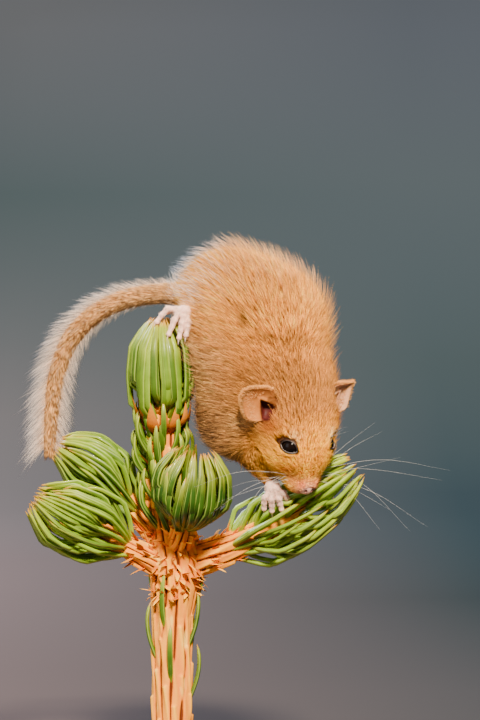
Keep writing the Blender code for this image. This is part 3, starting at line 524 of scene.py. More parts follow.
class Recipe:
    """A material's nodes, joined as they are added."""

    def __init__(self, name: str) -> None:
        """Starts a material with its shader."""
        self.material = bpy.data.materials.new(name)
        self.material.use_nodes = True
        self.tree = self.material.node_tree
        self.shader = self.tree.nodes["Principled BSDF"]

    def add(self, kind: str, inputs: dict | None = None, **settings: object) -> bpy.types.Node:
        """Adds a node.

        Args:
            kind: The node's type.
            inputs: Values or sockets by input name or number.
            settings: The node's own settings.

        Returns:
            The node.
        """
        node = self.tree.nodes.new(kind)
        for key, value in settings.items():
            setattr(node, key, value)
        for key, value in (inputs or {}).items():
            if isinstance(value, Socket):
                self.tree.links.new(value, node.inputs[key])
            else:
                node.inputs[key].default_value = value
        return node

    def place(self, scale: Place = (1, 1, 1)) -> Socket:
        """The surface's own place, stretched."""
        where = self.add("ShaderNodeTexCoord")
        return self.add("ShaderNodeMapping", {"Vector": where.outputs["Object"], "Scale": scale}).outputs[0]

    def noise(self, scale: float, detail: float = 3.0, stretch: Place = (1, 1, 1)) -> Socket:
        """Noise over the surface."""
        vector = self.place(stretch)
        return self.add("ShaderNodeTexNoise", {"Vector": vector, "Scale": scale, "Detail": detail}).outputs[0]

    def attribute(self, name: str, output: str = "Fac") -> Socket:
        """An attribute of the mesh."""
        return self.add("ShaderNodeAttribute", attribute_name=name).outputs[output]

    def ramp(self, value: Socket, stops: Sequence[tuple[float, Colour]]) -> Socket:
        """Colours by value."""
        node = self.add("ShaderNodeValToRGB", {"Fac": value})
        while len(node.color_ramp.elements) < len(stops):
            node.color_ramp.elements.new(0.5)
        for element, (place, colour) in zip(node.color_ramp.elements, stops):
            element.position, element.color = place, (*colour, 1)
        return node.outputs["Color"]

    def mix(self, share: object, first: object, second: object, blend: str = "MIX") -> Socket:
        """Two colours mixed."""
        node = self.add("ShaderNodeMix", data_type="RGBA", blend_type=blend)
        for number, value in ((0, share), (6, first), (7, second)):
            if isinstance(value, Socket):
                self.tree.links.new(value, node.inputs[number])
            elif number:
                node.inputs[number].default_value = (*value, 1)
            else:
                node.inputs[number].default_value = value
        return node.outputs[2]

    def mottled(
        self, colour: Socket, noise: Socket, dark: Colour, low: float = 0.3, high: float = 0.7
    ) -> Socket:
        """The colour, darker where the noise is low."""
        shade = self.ramp(noise, ((low, dark), (high, (1.0, 1.0, 1.0))))
        return self.mix(1.0, colour, shade, "MULTIPLY")

    def maths(self, operation: str, first: object, second: object = 0.0) -> Socket:
        """Arithmetic on two values."""
        return self.add("ShaderNodeMath", {0: first, 1: second}, operation=operation).outputs[0]

    def bump(self, height: Socket, distance: float, strength: float = 1.0) -> None:
        """Raises the surface by a height, in metres at most."""
        node = self.add("ShaderNodeBump", {"Height": height, "Distance": distance, "Strength": strength})
        self.tree.links.new(node.outputs[0], self.shader.inputs["Normal"])

    def wire(self, **inputs: object) -> Material:
        """Sets the shader's inputs, with _ for a space, and gives the material."""
        for key, value in inputs.items():
            socket = self.shader.inputs[key.replace("_", " ")]
            if isinstance(value, Socket):
                self.tree.links.new(value, socket)
            else:
                socket.default_value = (*value, 1) if isinstance(value, tuple) else value
        return self.material


@dataclass(frozen=True)
class CoatFinish:
    """Hairs: each its own colour, and dull."""

    roughness: float = 0.8
    fleck: float = 900.0

    def material(self) -> Material:
        """The material."""
        recipe = Recipe("coat")
        tint = recipe.attribute("tint", "Color")
        colour = recipe.mottled(tint, recipe.noise(self.fleck), (0.8, 0.8, 0.8))
        return recipe.wire(Base_Color=colour, Roughness=self.roughness, Specular_IOR_Level=0.06)


@dataclass(frozen=True)
class SkinFinish:
    """Thin skin with down: its own colours, fine creases and a little light through it."""

    roughness: float = 0.55
    crease: float = 1400.0

    def material(self) -> Material:
        """The material."""
        recipe = Recipe("skin")
        tint = recipe.attribute("tint", "Color")
        noise = recipe.noise(self.crease, 4.0)
        recipe.bump(noise, 0.00012, 0.6)
        recipe.wire(Base_Color=recipe.mottled(tint, noise, (0.82, 0.78, 0.76)), Roughness=self.roughness)
        return recipe.wire(Subsurface_Weight=0.15, Subsurface_Scale=0.0006, Specular_IOR_Level=0.2)


@dataclass(frozen=True)
class EyeFinish:
    """A wet black eye, a trace of brown in it."""

    deep: Colour = (0.002, 0.0015, 0.0015)
    warm: Colour = (0.008, 0.004, 0.003)

    def material(self) -> Material:
        """The material."""
        recipe = Recipe("eye_black")
        colour = recipe.ramp(recipe.noise(600.0), ((0.4, self.deep), (0.8, self.warm)))
        return recipe.wire(Base_Color=colour, Roughness=0.06, Specular_IOR_Level=0.1)


@dataclass(frozen=True)
class HornFinish:
    """Claws and whiskers: pale or dark along their length."""

    name: str
    root: Colour
    tip: Colour
    roughness: float = 0.35

    def material(self) -> Material:
        """The material."""
        recipe = Recipe(self.name)
        along = recipe.attribute("along")
        colour = recipe.ramp(along, ((0.0, self.root), (1.0, self.tip)))
        colour = recipe.mottled(colour, recipe.noise(2500.0), (0.85, 0.85, 0.85), 0.2, 0.8)
        return recipe.wire(Base_Color=colour, Roughness=self.roughness)


@dataclass(frozen=True)
class NeedleFinish:
    """Waxy green needles with paler lines, yellow at the foot and a brown point."""

    foot: Colour = (0.34, 0.36, 0.02)
    dark: Colour = (0.018, 0.070, 0.004)
    light: Colour = (0.27, 0.44, 0.018)
    point: Colour = (0.55, 0.24, 0.03)

    def material(self) -> Material:
        """The material."""
        recipe = Recipe("needles")
        along, shade, around = (recipe.attribute(name) for name in ("along", "shade", "around"))
        # Each needle's shade picks between dark and light green; the shoots' ranges of it are painted light
        # and shade.
        base = recipe.mix(shade, self.dark, self.light)
        lines = recipe.maths("SINE", recipe.maths("MULTIPLY", around, 6 * math.pi))
        stripe = recipe.ramp(lines, ((0.55, (0, 0, 0)), (0.98, (0.6, 0.6, 0.6))))
        base = recipe.mix(stripe, base, (0.40, 0.50, 0.085))
        foot = recipe.ramp(along, ((0.0, (1, 1, 1)), (0.18, (0, 0, 0))))
        base = recipe.mix(foot, base, self.foot)
        tip = recipe.ramp(along, ((0.9, (0, 0, 0)), (0.985, (1, 1, 1))))
        yellowing = recipe.ramp(along, ((0.55, (0, 0, 0)), (1.0, (0.6, 0.6, 0.6))))
        base = recipe.mix(yellowing, base, (0.50, 0.52, 0.035))
        base = recipe.mix(tip, base, self.point)
        recipe.bump(lines, 0.00006, 0.5)
        colour = recipe.mottled(base, recipe.noise(420.0), (0.72, 0.75, 0.7))
        return recipe.wire(Base_Color=colour, Roughness=0.42, Specular_IOR_Level=0.3, Coat_Weight=0.06)


@dataclass(frozen=True)
class BarkFinish:
    """Young spruce bark: orange ridges, paler crests and brown grooves."""

    groove: Colour = (0.14, 0.026, 0.004)
    ridge: Colour = (0.92, 0.27, 0.014)
    crest: Colour = (1.00, 0.48, 0.022)
    paper: Colour = (0.98, 0.67, 0.13)

    def material(self) -> Material:
        """The material."""
        recipe = Recipe("bark")
        ridge = recipe.attribute("ridge")
        grain = recipe.noise(700.0, 5.0, (1.0, 1.0, 0.22))
        height = recipe.maths(
            "ADD", ridge, recipe.maths("MULTIPLY", recipe.maths("SUBTRACT", grain, 0.5), 0.7)
        )
        colour = recipe.ramp(height, ((0.06, self.groove), (0.34, self.ridge), (0.90, self.crest)))
        peeling = recipe.ramp(
            recipe.noise(430.0, 3.0, (1.0, 1.0, 0.25)), ((0.60, (0, 0, 0)), (0.70, (0.7, 0.7, 0.7)))
        )
        colour = recipe.mix(peeling, colour, self.paper)
        recipe.bump(grain, 0.00025, 0.8)
        colour = recipe.mottled(colour, recipe.noise(160.0), (0.86, 0.72, 0.62))
        return recipe.wire(Base_Color=colour, Roughness=0.8, Specular_IOR_Level=0.15)


@dataclass(frozen=True)
class FlakeFinish:
    """Dry papery bud scales, orange at the foot and pale at the edge."""

    foot: Colour = (0.90, 0.22, 0.007)
    edge: Colour = (1.00, 0.58, 0.040)

    def material(self) -> Material:
        """The material."""
        recipe = Recipe("bud_scales")
        along, shade = recipe.attribute("along"), recipe.attribute("shade")
        colour = recipe.mix(along, self.foot, self.edge)
        colour = recipe.mottled(colour, shade, (0.50, 0.28, 0.12), 0.0, 1.0)
        grain = recipe.noise(1500.0, 4.0)
        recipe.bump(grain, 0.0001, 0.7)
        return recipe.wire(Base_Color=colour, Roughness=0.75, Specular_IOR_Level=0.15)


@dataclass(frozen=True)
class WoodFinish:
    """Satin dark wood with long grain."""

    dark: Colour = (0.055, 0.026, 0.012)
    light: Colour = (0.17, 0.085, 0.04)

    def material(self) -> Material:
        """The material."""
        recipe = Recipe("stand_wood")
        grain = recipe.noise(220.0, 6.0, (0.12, 1.0, 1.0))
        fine = recipe.noise(1800.0, 3.0, (0.06, 1.0, 1.0))
        height = recipe.maths(
            "ADD", recipe.maths("MULTIPLY", grain, 0.75), recipe.maths("MULTIPLY", fine, 0.25)
        )
        colour = recipe.ramp(height, ((0.35, self.dark), (0.65, self.light)))
        recipe.bump(fine, 0.00008, 0.5)
        return recipe.wire(Base_Color=colour, Roughness=0.38, Coat_Weight=0.2, Coat_Roughness=0.25)


@dataclass(frozen=True)
class SteelFinish:
    """Steel brushed round the rod."""

    colour: Colour = (0.55, 0.55, 0.56)

    def material(self) -> Material:
        """The material."""
        recipe = Recipe("stand_steel")
        brushed = recipe.noise(4000.0, 2.0, (0.1, 0.1, 1.0))
        rough = recipe.maths("ADD", recipe.maths("MULTIPLY", brushed, 0.2), 0.2)
        recipe.bump(brushed, 0.00001, 0.3)
        return recipe.wire(Base_Color=self.colour, Metallic=1.0, Roughness=rough)


@dataclass(frozen=True)
class PaperFinish:
    """The studio's matt blue-grey sheet, warmer at the lower left and darkest at the lower right; darker low
    down as painted shade.
    """

    # Tones from the front edge to the top, at the left and at the right, by share of the depth, with painted
    # shade low down.
    depth: float = 1.6
    left: tuple[tuple[float, Colour], ...] = (
        (0.16, (0.104, 0.074, 0.072)), (0.40, (0.124, 0.090, 0.087)), (0.71, (0.150, 0.136, 0.134)),
        (0.87, (0.102, 0.134, 0.142)), (0.95, (0.185, 0.205, 0.240)),
    )
    right: tuple[tuple[float, Colour], ...] = (
        (0.12, (0.034, 0.037, 0.039)), (0.30, (0.017, 0.027, 0.029)), (0.61, (0.037, 0.056, 0.063)),
        (0.76, (0.074, 0.098, 0.101)), (0.88, (0.116, 0.142, 0.156)), (0.95, (0.128, 0.150, 0.185)),
    )

    def material(self) -> Material:
        """The material."""
        recipe = Recipe("studio_sheet")
        place = recipe.add("ShaderNodeSeparateXYZ", {0: recipe.place()}).outputs
        rightward = recipe.maths("ADD", recipe.maths("MULTIPLY", place["X"], 4.0), 0.5)
        inward = recipe.maths("DIVIDE", place["Y"], self.depth)
        share = recipe.ramp(rightward, ((0.05, (0, 0, 0)), (0.95, (1, 1, 1))))
        tone = recipe.mix(share, recipe.ramp(inward, self.left), recipe.ramp(inward, self.right))
        cloud = recipe.ramp(recipe.noise(1.6, 1.0), ((0.3, (0.88, 0.90, 0.92)), (0.7, (1.0, 0.98, 0.99))))
        return recipe.wire(
            Base_Color=recipe.mix(1.0, tone, cloud, "MULTIPLY"), Roughness=1.0, Specular_IOR_Level=0.0
        )


# Things swept along lines.


@dataclass
class Strand:
    """A bent line that something is swept along."""

    line: Array
    radii: Array
    shade: float = 0.5
    closed: bool = False


class Sweep:
    """The node tree that sweeps a section along lines, as needles, scales, claws and whiskers."""

    _tree: bpy.types.NodeTree | None = None
    _sockets: dict[str, str] = {}

    @classmethod
    def tree(cls) -> bpy.types.NodeTree:
        """The tree, built once."""
        if cls._tree:
            return cls._tree
        tree = bpy.data.node_groups.new("sweep along lines", "GeometryNodeTree")
        face = tree.interface
        face.new_socket("Geometry", in_out="INPUT", socket_type="NodeSocketGeometry")
        face.new_socket("Geometry", in_out="OUTPUT", socket_type="NodeSocketGeometry")
        for name, kind in (
            ("Sides", "Int"), ("Width", "Float"), ("Thickness", "Float"), ("Finish", "Material")
        ):
            cls._sockets[name] = face.new_socket(
                name, in_out="INPUT", socket_type="NodeSocket" + kind
            ).identifier
        nodes, links = tree.nodes, tree.links
        given, done = nodes.new("NodeGroupInput"), nodes.new("NodeGroupOutput")
        lines = nodes.new("GeometryNodeMeshToCurve")
        thick = nodes.new("GeometryNodeInputNamedAttribute")
        thick.inputs["Name"].default_value = "thick"
        section = nodes.new("GeometryNodeCurvePrimitiveCircle")
        section.inputs["Radius"].default_value = 1.0
        stretch = nodes.new("ShaderNodeCombineXYZ")
        flatten = nodes.new("GeometryNodeTransform")
        stretch.inputs["Z"].default_value = 1.0
        share = nodes.new("GeometryNodeSplineParameter")
        mark = nodes.new("GeometryNodeStoreNamedAttribute")
        mark.data_type, mark.domain = "FLOAT", "POINT"
        mark.inputs["Name"].default_value = "around"
        sweep = nodes.new("GeometryNodeCurveToMesh")
        sweep.inputs["Fill Caps"].default_value = True
        real, coat = nodes.new("GeometryNodeRealizeInstances"), nodes.new("GeometryNodeSetMaterial")
        for start, end in (
            (given.outputs["Geometry"], lines.inputs[0]),
            (given.outputs["Sides"], section.inputs["Resolution"]),
            (given.outputs["Width"], stretch.inputs["X"]),
            (given.outputs["Thickness"], stretch.inputs["Y"]),
            (stretch.outputs[0], flatten.inputs["Scale"]),
            (section.outputs["Curve"], mark.inputs["Geometry"]),
            (share.outputs["Factor"], mark.inputs["Value"]),
            (mark.outputs["Geometry"], flatten.inputs["Geometry"]),
            (lines.outputs[0], sweep.inputs["Curve"]),
            (flatten.outputs[0], sweep.inputs["Profile Curve"]),
            (thick.outputs["Attribute"], sweep.inputs["Scale"]),
            (sweep.outputs[0], real.inputs[0]),
            (real.outputs[0], coat.inputs["Geometry"]),
            (given.outputs["Finish"], coat.inputs["Material"]),
            (coat.outputs[0], done.inputs[0]),
        ):
            links.new(start, end)
        cls._tree = tree
        return tree

    @classmethod
    def along(
        cls, name: str, strands: Sequence[Strand], finish: Material, sides: int = 5, width: float = 1.0,
        thickness: float = 1.0,
    ) -> Piece:
        """One mesh of all the strands.

        Args:
            name: The piece's name.
            strands: The lines, with the radius at each point.
            finish: The material.
            sides: Corners of the section.
            width: The section's half width for a radius of one.
            thickness: The section's half depth for a radius of one.

        Returns:
            The piece, with attributes along, around and shade.
        """
        points, edges, thick, along, shade = [], [], [], [], []
        for strand in strands:
            first, count = len(points), len(strand.line)
            points += [tuple(point) for point in strand.line * MM]
            edges += [(first + k, first + k + 1) for k in range(count - 1)]
            if strand.closed:
                edges.append((first + count - 1, first))
            thick += list(np.broadcast_to(strand.radii, count) * MM)
            along += list(np.linspace(0, 1, count))
            shade += [strand.shade] * count
        mesh = bpy.data.meshes.new(name)
        mesh.from_pydata(points, edges, [])
        for label, values in (("thick", thick), ("along", along), ("shade", shade)):
            mesh.attributes.new(label, "FLOAT", "POINT").data.foreach_set(
                "value", np.array(values, np.float32)
            )
        guide = linked(name, mesh)
        tree = cls.tree()
        sweep = guide.modifiers.new("sweep", "NODES")
        sweep.node_group = tree
        for label, value in (
            ("Sides", sides), ("Width", width), ("Thickness", thickness), ("Finish", finish)
        ):
            sweep[cls._sockets[label]] = value
        apply_modifiers(guide)
        smooth(guide, 50.0)
        return guide


# The skin.


EYE_RADIUS = 2.5
EYE_AT = (6.7, 4.2, 2.5)
EYE_LOOKS = (0.16, 0.78, 0.62)
EYE_CORNER = (0.66, -0.60, 0.60)


@dataclass
class Eye:
    """One eye: its ball, the almond that the lids leave open, and the lids' dark margin."""

    side: Side
    long: float = 3.0
    upper: float = 1.75
    lower: float = 0.95
    socket_gap: float = 0.1
    lid: float = 0.26
    margin: float = 0.15
    wet_edge: float = 0.036

    def frame(self) -> tuple[Array, Array, Array, Array]:
        """Its centre, where it looks, the way to its front corner and the way to its upper lid."""
        looks = unit(HEAD.way(*self.side.of(EYE_LOOKS)))
        corner = HEAD.way(*self.side.of(EYE_CORNER))
        corner = unit(corner - looks * (corner @ looks))
        above = np.cross(corner, looks) * self.side.value
        return HEAD.place(*self.side.of(EYE_AT)), looks, corner, above

    def almond(self, reach: float, count: int = 28) -> Array:
        """The ring that the lids leave open, this far out from the eye's centre."""
        centre, looks, corner, above = self.frame()
        ring = []
        for turn in full_turn(count):
            tall = self.upper if math.sin(turn) > 0 else self.lower
            rise = above * tall * math.sin(turn) * abs(math.sin(turn)) ** 0.45
            ring.append(
                centre + looks * reach + (corner * self.long * math.cos(turn) + rise) * (0.55 + 0.2 * reach)
            )
        return np.array(ring)

    def carve(self, skin: Piece) -> None:
        """Raises the lids on the skin and opens them over the socket."""
        centre = self.frame()[0]
        hollow = EYE_RADIUS + self.socket_gap
        combine(skin, ball("lids", centre, hollow + self.lid, None, 40, 26), "UNION")
        low, high = self.almond(0.9), self.almond(4.8)
        shape = bmesh.new()
        rings = [[shape.verts.new(point) for point in ring] for ring in (low, high)]
        for k in range(len(low)):
            shape.faces.new((rings[0][k], rings[0][k - 1], rings[1][k - 1], rings[1][k]))
        shape.faces.new(rings[0])
        shape.faces.new(rings[1][::-1])
        combine(skin, from_bmesh("opening", shape), "DIFFERENCE")
        combine(skin, ball("socket", centre, hollow, None, 40, 26), "DIFFERENCE")

    def covers(self, points: Array, spread: float = 1.0) -> Array:
        """Which points lie in front of the open eye."""
        centre, looks, corner, above = self.frame()
        local = points - centre
        out = local @ looks
        scale = (0.55 + 0.2 * out) * spread
        wide, rise = (local @ corner) / (self.long * scale), (local @ above) / scale
        tall = np.clip(1 - wide**2, 0, 1) ** 0.725
        return (out > 1.2) & (rise < self.upper * tall) & (rise > -self.lower * tall)

    def over_lids(self, points: Array) -> Array:
        """The points, those that lie in the lids brought out onto them."""
        centre = self.frame()[0]
        away = gaps(points, centre)
        clear = EYE_RADIUS + self.socket_gap + self.lid + 0.05
        return centre + (points - centre) * np.maximum(1, clear / np.maximum(away, 0.5))[:, None]

    def on_lids(self, points: Array) -> Array:
        """Which points lie on the lids' outer side."""
        away = gaps(points, self.frame()[0])
        return (np.abs(away - EYE_RADIUS - self.socket_gap - self.lid) < 0.08) & ~self.covers(points, 1.12)

    def build(self, finish: Material, rim: Material) -> None:
        """The eyeball and the margin of the lids."""
        centre = self.frame()[0]
        name = "eye_" + self.side.word
        eyeball = ball(name + "_ball", centre, EYE_RADIUS, None, 48, 32)
        smooth(eyeball)
        dress(eyeball, finish, "eye_black", name)
        rim_line = self._lid_line(1.0, 0.3)
        turn = full_turn(len(rim_line))
        # The pale line along the lower lid: the lid's pale edge, with a painted glint of its wet rim.
        glint_line = self._lid_line(0.93, 0.16)[21:37]
        strands = [
            Strand(rim_line, self.margin * (0.85 + 0.25 * np.abs(np.sin(turn))), 0.0, True),
            Strand(
                glint_line,
                self.wet_edge * np.interp(np.linspace(0, 1, 16), (0, 0.2, 0.8, 1), (0.3, 1, 1, 0.3)),
                1.0,
            ),
        ]
        margin = Sweep.along(name + "_lid_margin", strands, rim, 8)
        shade = np.empty(len(margin.data.vertices), np.float32)
        margin.data.attributes["shade"].data.foreach_get("value", shade)
        margin.data.attributes["along"].data.foreach_set("value", shade)
        dress(margin, rim, "bare_skin")

    def _lid_line(self, scale: float, lift: float) -> Array:
        """A line round the opening, drawn in by the scale and lifted off the ball."""
        centre = self.frame()[0]
        ring = self.almond(2.55, 40)
        middle = ring.mean(axis=0)
        return centre + unit(middle + (ring - middle) * scale - centre) * (EYE_RADIUS + lift)


@dataclass
class Ear:
    """A cupped ear: a thin shell that deepens to a dark hollow at its lower front."""

    side: Side
    root: Place = (-1.7, 8.1, 3.2)
    rises: Place = (-0.62, 0.82, 0.20)
    faces: Place = (0.48, 0.42, 0.76)
    length: float = 4.9
    width: float = 4.4
    depth: float = 1.15
    thickness: float = 0.32
    point: float = 0.36
    hollow: float = 1.9
    proud: float = 0.2
    lining: Colour = (0.56, 0.20, 0.045)
    rings: int = 14
    around: int = 44

    def frame(self) -> tuple[Array, Array, Array, Array]:
        """Its root, the way it rises, the way across it and the way its cup faces."""
        out = unit(HEAD.way(*self.side.of(self.rises)))
        face = HEAD.way(*self.side.of(self.faces))
        face = unit(face - out * (face @ out))
        return HEAD.place(*self.side.of(self.root)), out, np.cross(out, face), face

    def local(self, points: Array) -> tuple[Array, Array, Array]:
        """Each point's share up the ear and across it, and how far it is to the cup's side."""
        root, out, across, face = self.frame()
        offset = points - root - out * (0.72 * self.length)
        up = offset @ out / self.length
        narrow = 1 - self.point * np.clip(up, 0, 1)
        return up, offset @ across / self.width / narrow * self._front(), offset @ face

    @staticmethod
    def past_fold(up: Array, front: Array) -> Array:
        """How far a place lies past the fold that parts the flap from the dark hollow."""
        across = -0.75 * (up + 0.2) - 0.66 * (front - 0.2)
        below = 0.24 - (0.66 * up - 0.75 * front) - 0.45 * np.clip(across, 0, 1)
        return np.minimum(across, 0.9 * below)

    def hollowed(self, up: Array, front: Array) -> Array:
        """How much a place belongs to the dark hollow."""
        return np.clip(self.past_fold(up, front) / 0.13 + 0.3, 0, 1)

    def bowl(self, up: Array, front: Array) -> Array:
        """How deep the cup is there: deepest in the hollow, shallow on the flap, with a fold between."""
        share = np.clip(np.sqrt(up**2 + front**2), 0, 1)
        past = self.past_fold(up, front)
        pit = self.hollow * np.clip(past / 0.25, 0, 1) * (1 - share**2)
        fold = 0.55 * np.exp(-((past / 0.12) ** 2)) * (1 - share)
        return self.depth * (1 - share**2) + pit - fold

    def shape_point(self, up: float, over: float, deep: float) -> Array:
        """A point of the ear by its share up and across, and how far it lies behind the rim."""
        root, out, across, face = self.frame()
        over *= 1 - self.point * max(0.0, up)
        flat = root + out * self.length * (0.72 + up) + across * self.width * over
        return flat - face * (deep - self.proud)

    def clear(self, skin: Piece) -> None:
        """Cuts away the skin that would fill the cup."""
        front = self._front()
        shape = bmesh.new()
        layers = []
        for share in (0.0, 0.3, 0.55, 0.75, 0.9):
            spots = [self._spot(share, turn) for turn in full_turn(self.around if share else 1)]
            deep = [float(self.bowl(np.array(up), np.array(over * front))) for up, over in spots]
            floor = [
                shape.verts.new(self.shape_point(up, over, d - 0.05)) for (up, over), d in zip(spots, deep)
            ]
            roof = [shape.verts.new(self.shape_point(up, over, -3.0)) for up, over in spots]
            layers.append((floor, roof))
        combine(skin, self._closed("cup", shape, list(zip(*layers)), False), "DIFFERENCE")

    @staticmethod
    def _spot(share: float, turn: float) -> tuple[float, float]:
        """The share up and across at this turn about the middle, drawn in a little at the foot."""
        flat = share * (1 - 0.12 * max(0.0, -math.cos(turn)))
        return flat * math.cos(turn), flat * math.sin(turn)

    def _closed(
        self, name: str, shape: bmesh.types.BMesh, sheets: Sequence[Sequence[list]], flip: bool
    ) -> Piece:
        """The solid between two sheets of points.

        Args:
            name: The object's name.
            shape: The mesh that holds the points.
            sheets: Both sheets, each a middle point and the rings round it.
            flip: Whether the second sheet's faces are turned over.

        Returns:
            The object.
        """
        for sheet, turned in zip(sheets, (False, flip)):
            for k in range(self.around):
                faces = [(sheet[0][0], sheet[1][k - 1], sheet[1][k])]
                faces += [
                    (low[k - 1], high[k - 1], high[k], low[k]) for low, high in zip(sheet[1:], sheet[2:])
                ]
                for face in faces:
                    shape.faces.new(face[::-1] if turned else face)
        first, last = sheets[0][-1], sheets[1][-1]
        for k in range(self.around):
            shape.faces.new((first[k - 1], last[k - 1], last[k], first[k]))
        return from_bmesh(name, shape)

    def _front(self) -> float:
        """The sign of the way across that leads to the nose."""
        return float(np.sign(HEAD.axes[0] @ self.frame()[2]))

    def build(self) -> Piece:
        """The shell."""
        front = self._front()
        shape = bmesh.new()
        sheets = []
        for lift in (0.0, self.thickness):
            sheet = []
            for r in range(self.rings + 1):
                share = (r / self.rings) ** 0.85
                ring = []
                for turn in full_turn(self.around if r else 1):
                    up, over = self._spot(share, turn)
                    deep = self.bowl(np.array(up), np.array(over * front)) + lift * (1 - 0.45 * share)
                    curl = 0.15 * share**6 * max(0.0, math.cos(turn))
                    ring.append(shape.verts.new(self.shape_point(up, over, float(deep) + curl)))
                sheet.append(ring)
            sheets.append(sheet)
        return self._closed("ear", shape, sheets, True)

    def holds(self, points: Array) -> Array:
        """Which points lie in the cup."""
        up, front, over = self.local(points)
        deep = self.bowl(up, front)
        return (up**2 + front**2 < 0.85) & (over > self.proud - deep - 0.4) & (over < 1.8)

    def roots(self, draw: np.random.Generator, count: int) -> "Roots":
        """Places for short hairs on the back of the ear, on its rim and, few, in its cup."""
        root, out, across, face = self.frame()
        front = self._front()
        kind = draw.random(count)
        share = np.where(kind < 0.3, draw.uniform(0.94, 1.0, count), np.sqrt(draw.uniform(0.05, 0.95, count)))
        turn = draw.uniform(0, 2 * math.pi, count)
        up, over = share * np.cos(turn), share * np.sin(turn)
        up = np.where(up < 0, 0.88 * up, up)
        inside = kind > 0.84
        deep = self.bowl(up, over * front) + np.where(inside, 0, self.thickness * (1 - 0.45 * share))
        wide = self.width * over * (1 - self.point * np.clip(up, 0, 1))
        places = root + out * (self.length * (0.72 + up))[:, None] + across * wide[:, None]
        places = places - face * (deep - self.proud)[:, None]
        outward = unit(out * up[:, None] + across * over[:, None])
        slant = unit(face * np.where(inside, 1.0, -1.0)[:, None] + outward * (0.9 * share)[:, None])
        ways = unit(out * 0.9 + outward * 0.8)
        keep = (DORMOUSE.distance(places) > 0.1) & ~(inside & (self.past_fold(up, over * front) > -0.1))
        return Roots(places[keep], slant[keep], ways[keep], inside[keep])


@dataclass
class Roots:
    """Places that hairs grow from, with the surface's normal and the lie of the coat there."""

    places: Array
    normals: Array
    ways: Array
    inside: Array | None = None


@dataclass
class Paw:
    """A palm with digits, each ending in a claw."""

    name: str
    joint: Place
    palm: Place
    palm_radii: Place
    digits: list[list[Place]]
    digit_radius: float = 0.62
    claw_length: float = 1.35

    def lines(self) -> list[Array]:
        """Each digit's line from inside the palm to its tip."""
        return [bent_line([self.palm, *digit], 5) for digit in self.digits]

    def flesh(self) -> Flesh:
        """The paw's own forms."""
        forms: list[Form] = [
            Lobe(self.palm, self.palm_radii, 0.8), Limb(self.palm, 1.25, self.joint, 1.5, 1.0)
        ]
        thick = self.digit_radius * np.array([0.95, 0.98, 1.08, 0.92, 0.84])
        for line in self.lines():
            for k in range(4):
                forms.append(Limb(tuple(line[k]), thick[k], tuple(line[k + 1]), thick[k + 1], 0.35))
            pad = line[-1] + (0, 0, -0.12)
            forms.append(Lobe(tuple(pad), (0.62, 0.62, 0.6), 0.3))
        return Flesh(forms)

    def build(self) -> Piece:
        """The paw's skin, closed inside the leg."""
        flesh = self.flesh()
        made = flesh.start_mesh("paw", 0.0, 0.17)
        set_places(made, flesh.settled(places_of(made), lambda points: np.zeros(len(points)), 4))
        return made

    def claws(self) -> list[Strand]:
        """A curved claw for each digit."""
        strands = []
        for line in self.lines():
            way = unit(line[-1] - line[-2])
            tip = line[-1] + way * self.claw_length + (0, 0.1, -0.45)
            mid = line[-1] + way * (0.6 * self.claw_length) + (0, 0, 0.05)
            strands.append(Strand(
                bent_line([line[-1] - way * 0.3, mid, tip], 7),
                0.3 * np.array([1, 1, 0.95, 0.8, 0.6, 0.35, 0.06]),
            ))
        return strands


PAWS = [
    Paw(
        "forepaw_right", WRIST_RIGHT, (17.0, -7.9, 70.9), (1.8, 1.5, 1.9),
        [
            [(15.2, -8.6, 69.2), (14.9, -7.4, 66.4)], [(16.6, -9.2, 68.8), (16.7, -8.0, 65.9)],
            [(18.2, -9.0, 69.0), (18.9, -7.8, 66.3)], [(19.3, -8.2, 70.0), (20.6, -7.2, 67.9)],
        ],
    ),
    Paw(
        "forepaw_left", WRIST_LEFT, (28.2, -1.0, 72.3), (1.7, 1.5, 1.9),
        [
            [(26.6, -0.6, 71.2), (26.2, -1.2, 69.2)], [(27.6, -1.6, 70.4), (27.4, -2.2, 68.4)],
            [(29.4, -0.9, 70.6), (29.6, -1.8, 68.6)], [(30.0, 0.4, 71.2), (30.8, 0.2, 69.2)],
        ],
    ),
    Paw(
        "hindpaw_right", ANKLE_RIGHT, (-3.7, -4.2, 111.9), (2.4, 1.5, 1.3),
        [
            [(-7.2, -3.8, 112.7), (-10.0, -3.9, 109.6)],
            [(-5.4, -5.2, 111.0), (-7.2, -5.9, 106.8)],
            [(-3.9, -5.6, 110.4), (-4.8, -6.4, 106.0)],
            [(-2.7, -5.6, 109.9), (-3.2, -6.2, 106.6)],
            [(-5.6, -2.2, 112.4), (-7.6, -0.6, 111.9)],
        ],
    ),
    Paw(
        "hindpaw_left", ANKLE_LEFT, (-2.8, 9.2, 102.8), (1.5, 1.6, 2.6),
        [
            [(-3.8, 9.9, 99.4), (-5.6, 9.5, 96.6)],
            [(-4.8, 10.0, 100.6), (-7.6, 10.2, 98.2)],
            [(-5.0, 10.0, 102.0), (-8.8, 10.2, 100.4)],
            [(-5.1, 9.8, 103.4), (-8.8, 9.8, 103.2)], [(-2.2, 8.8, 99.8), (-2.6, 7.9, 97.4)],
        ],
    ),
]


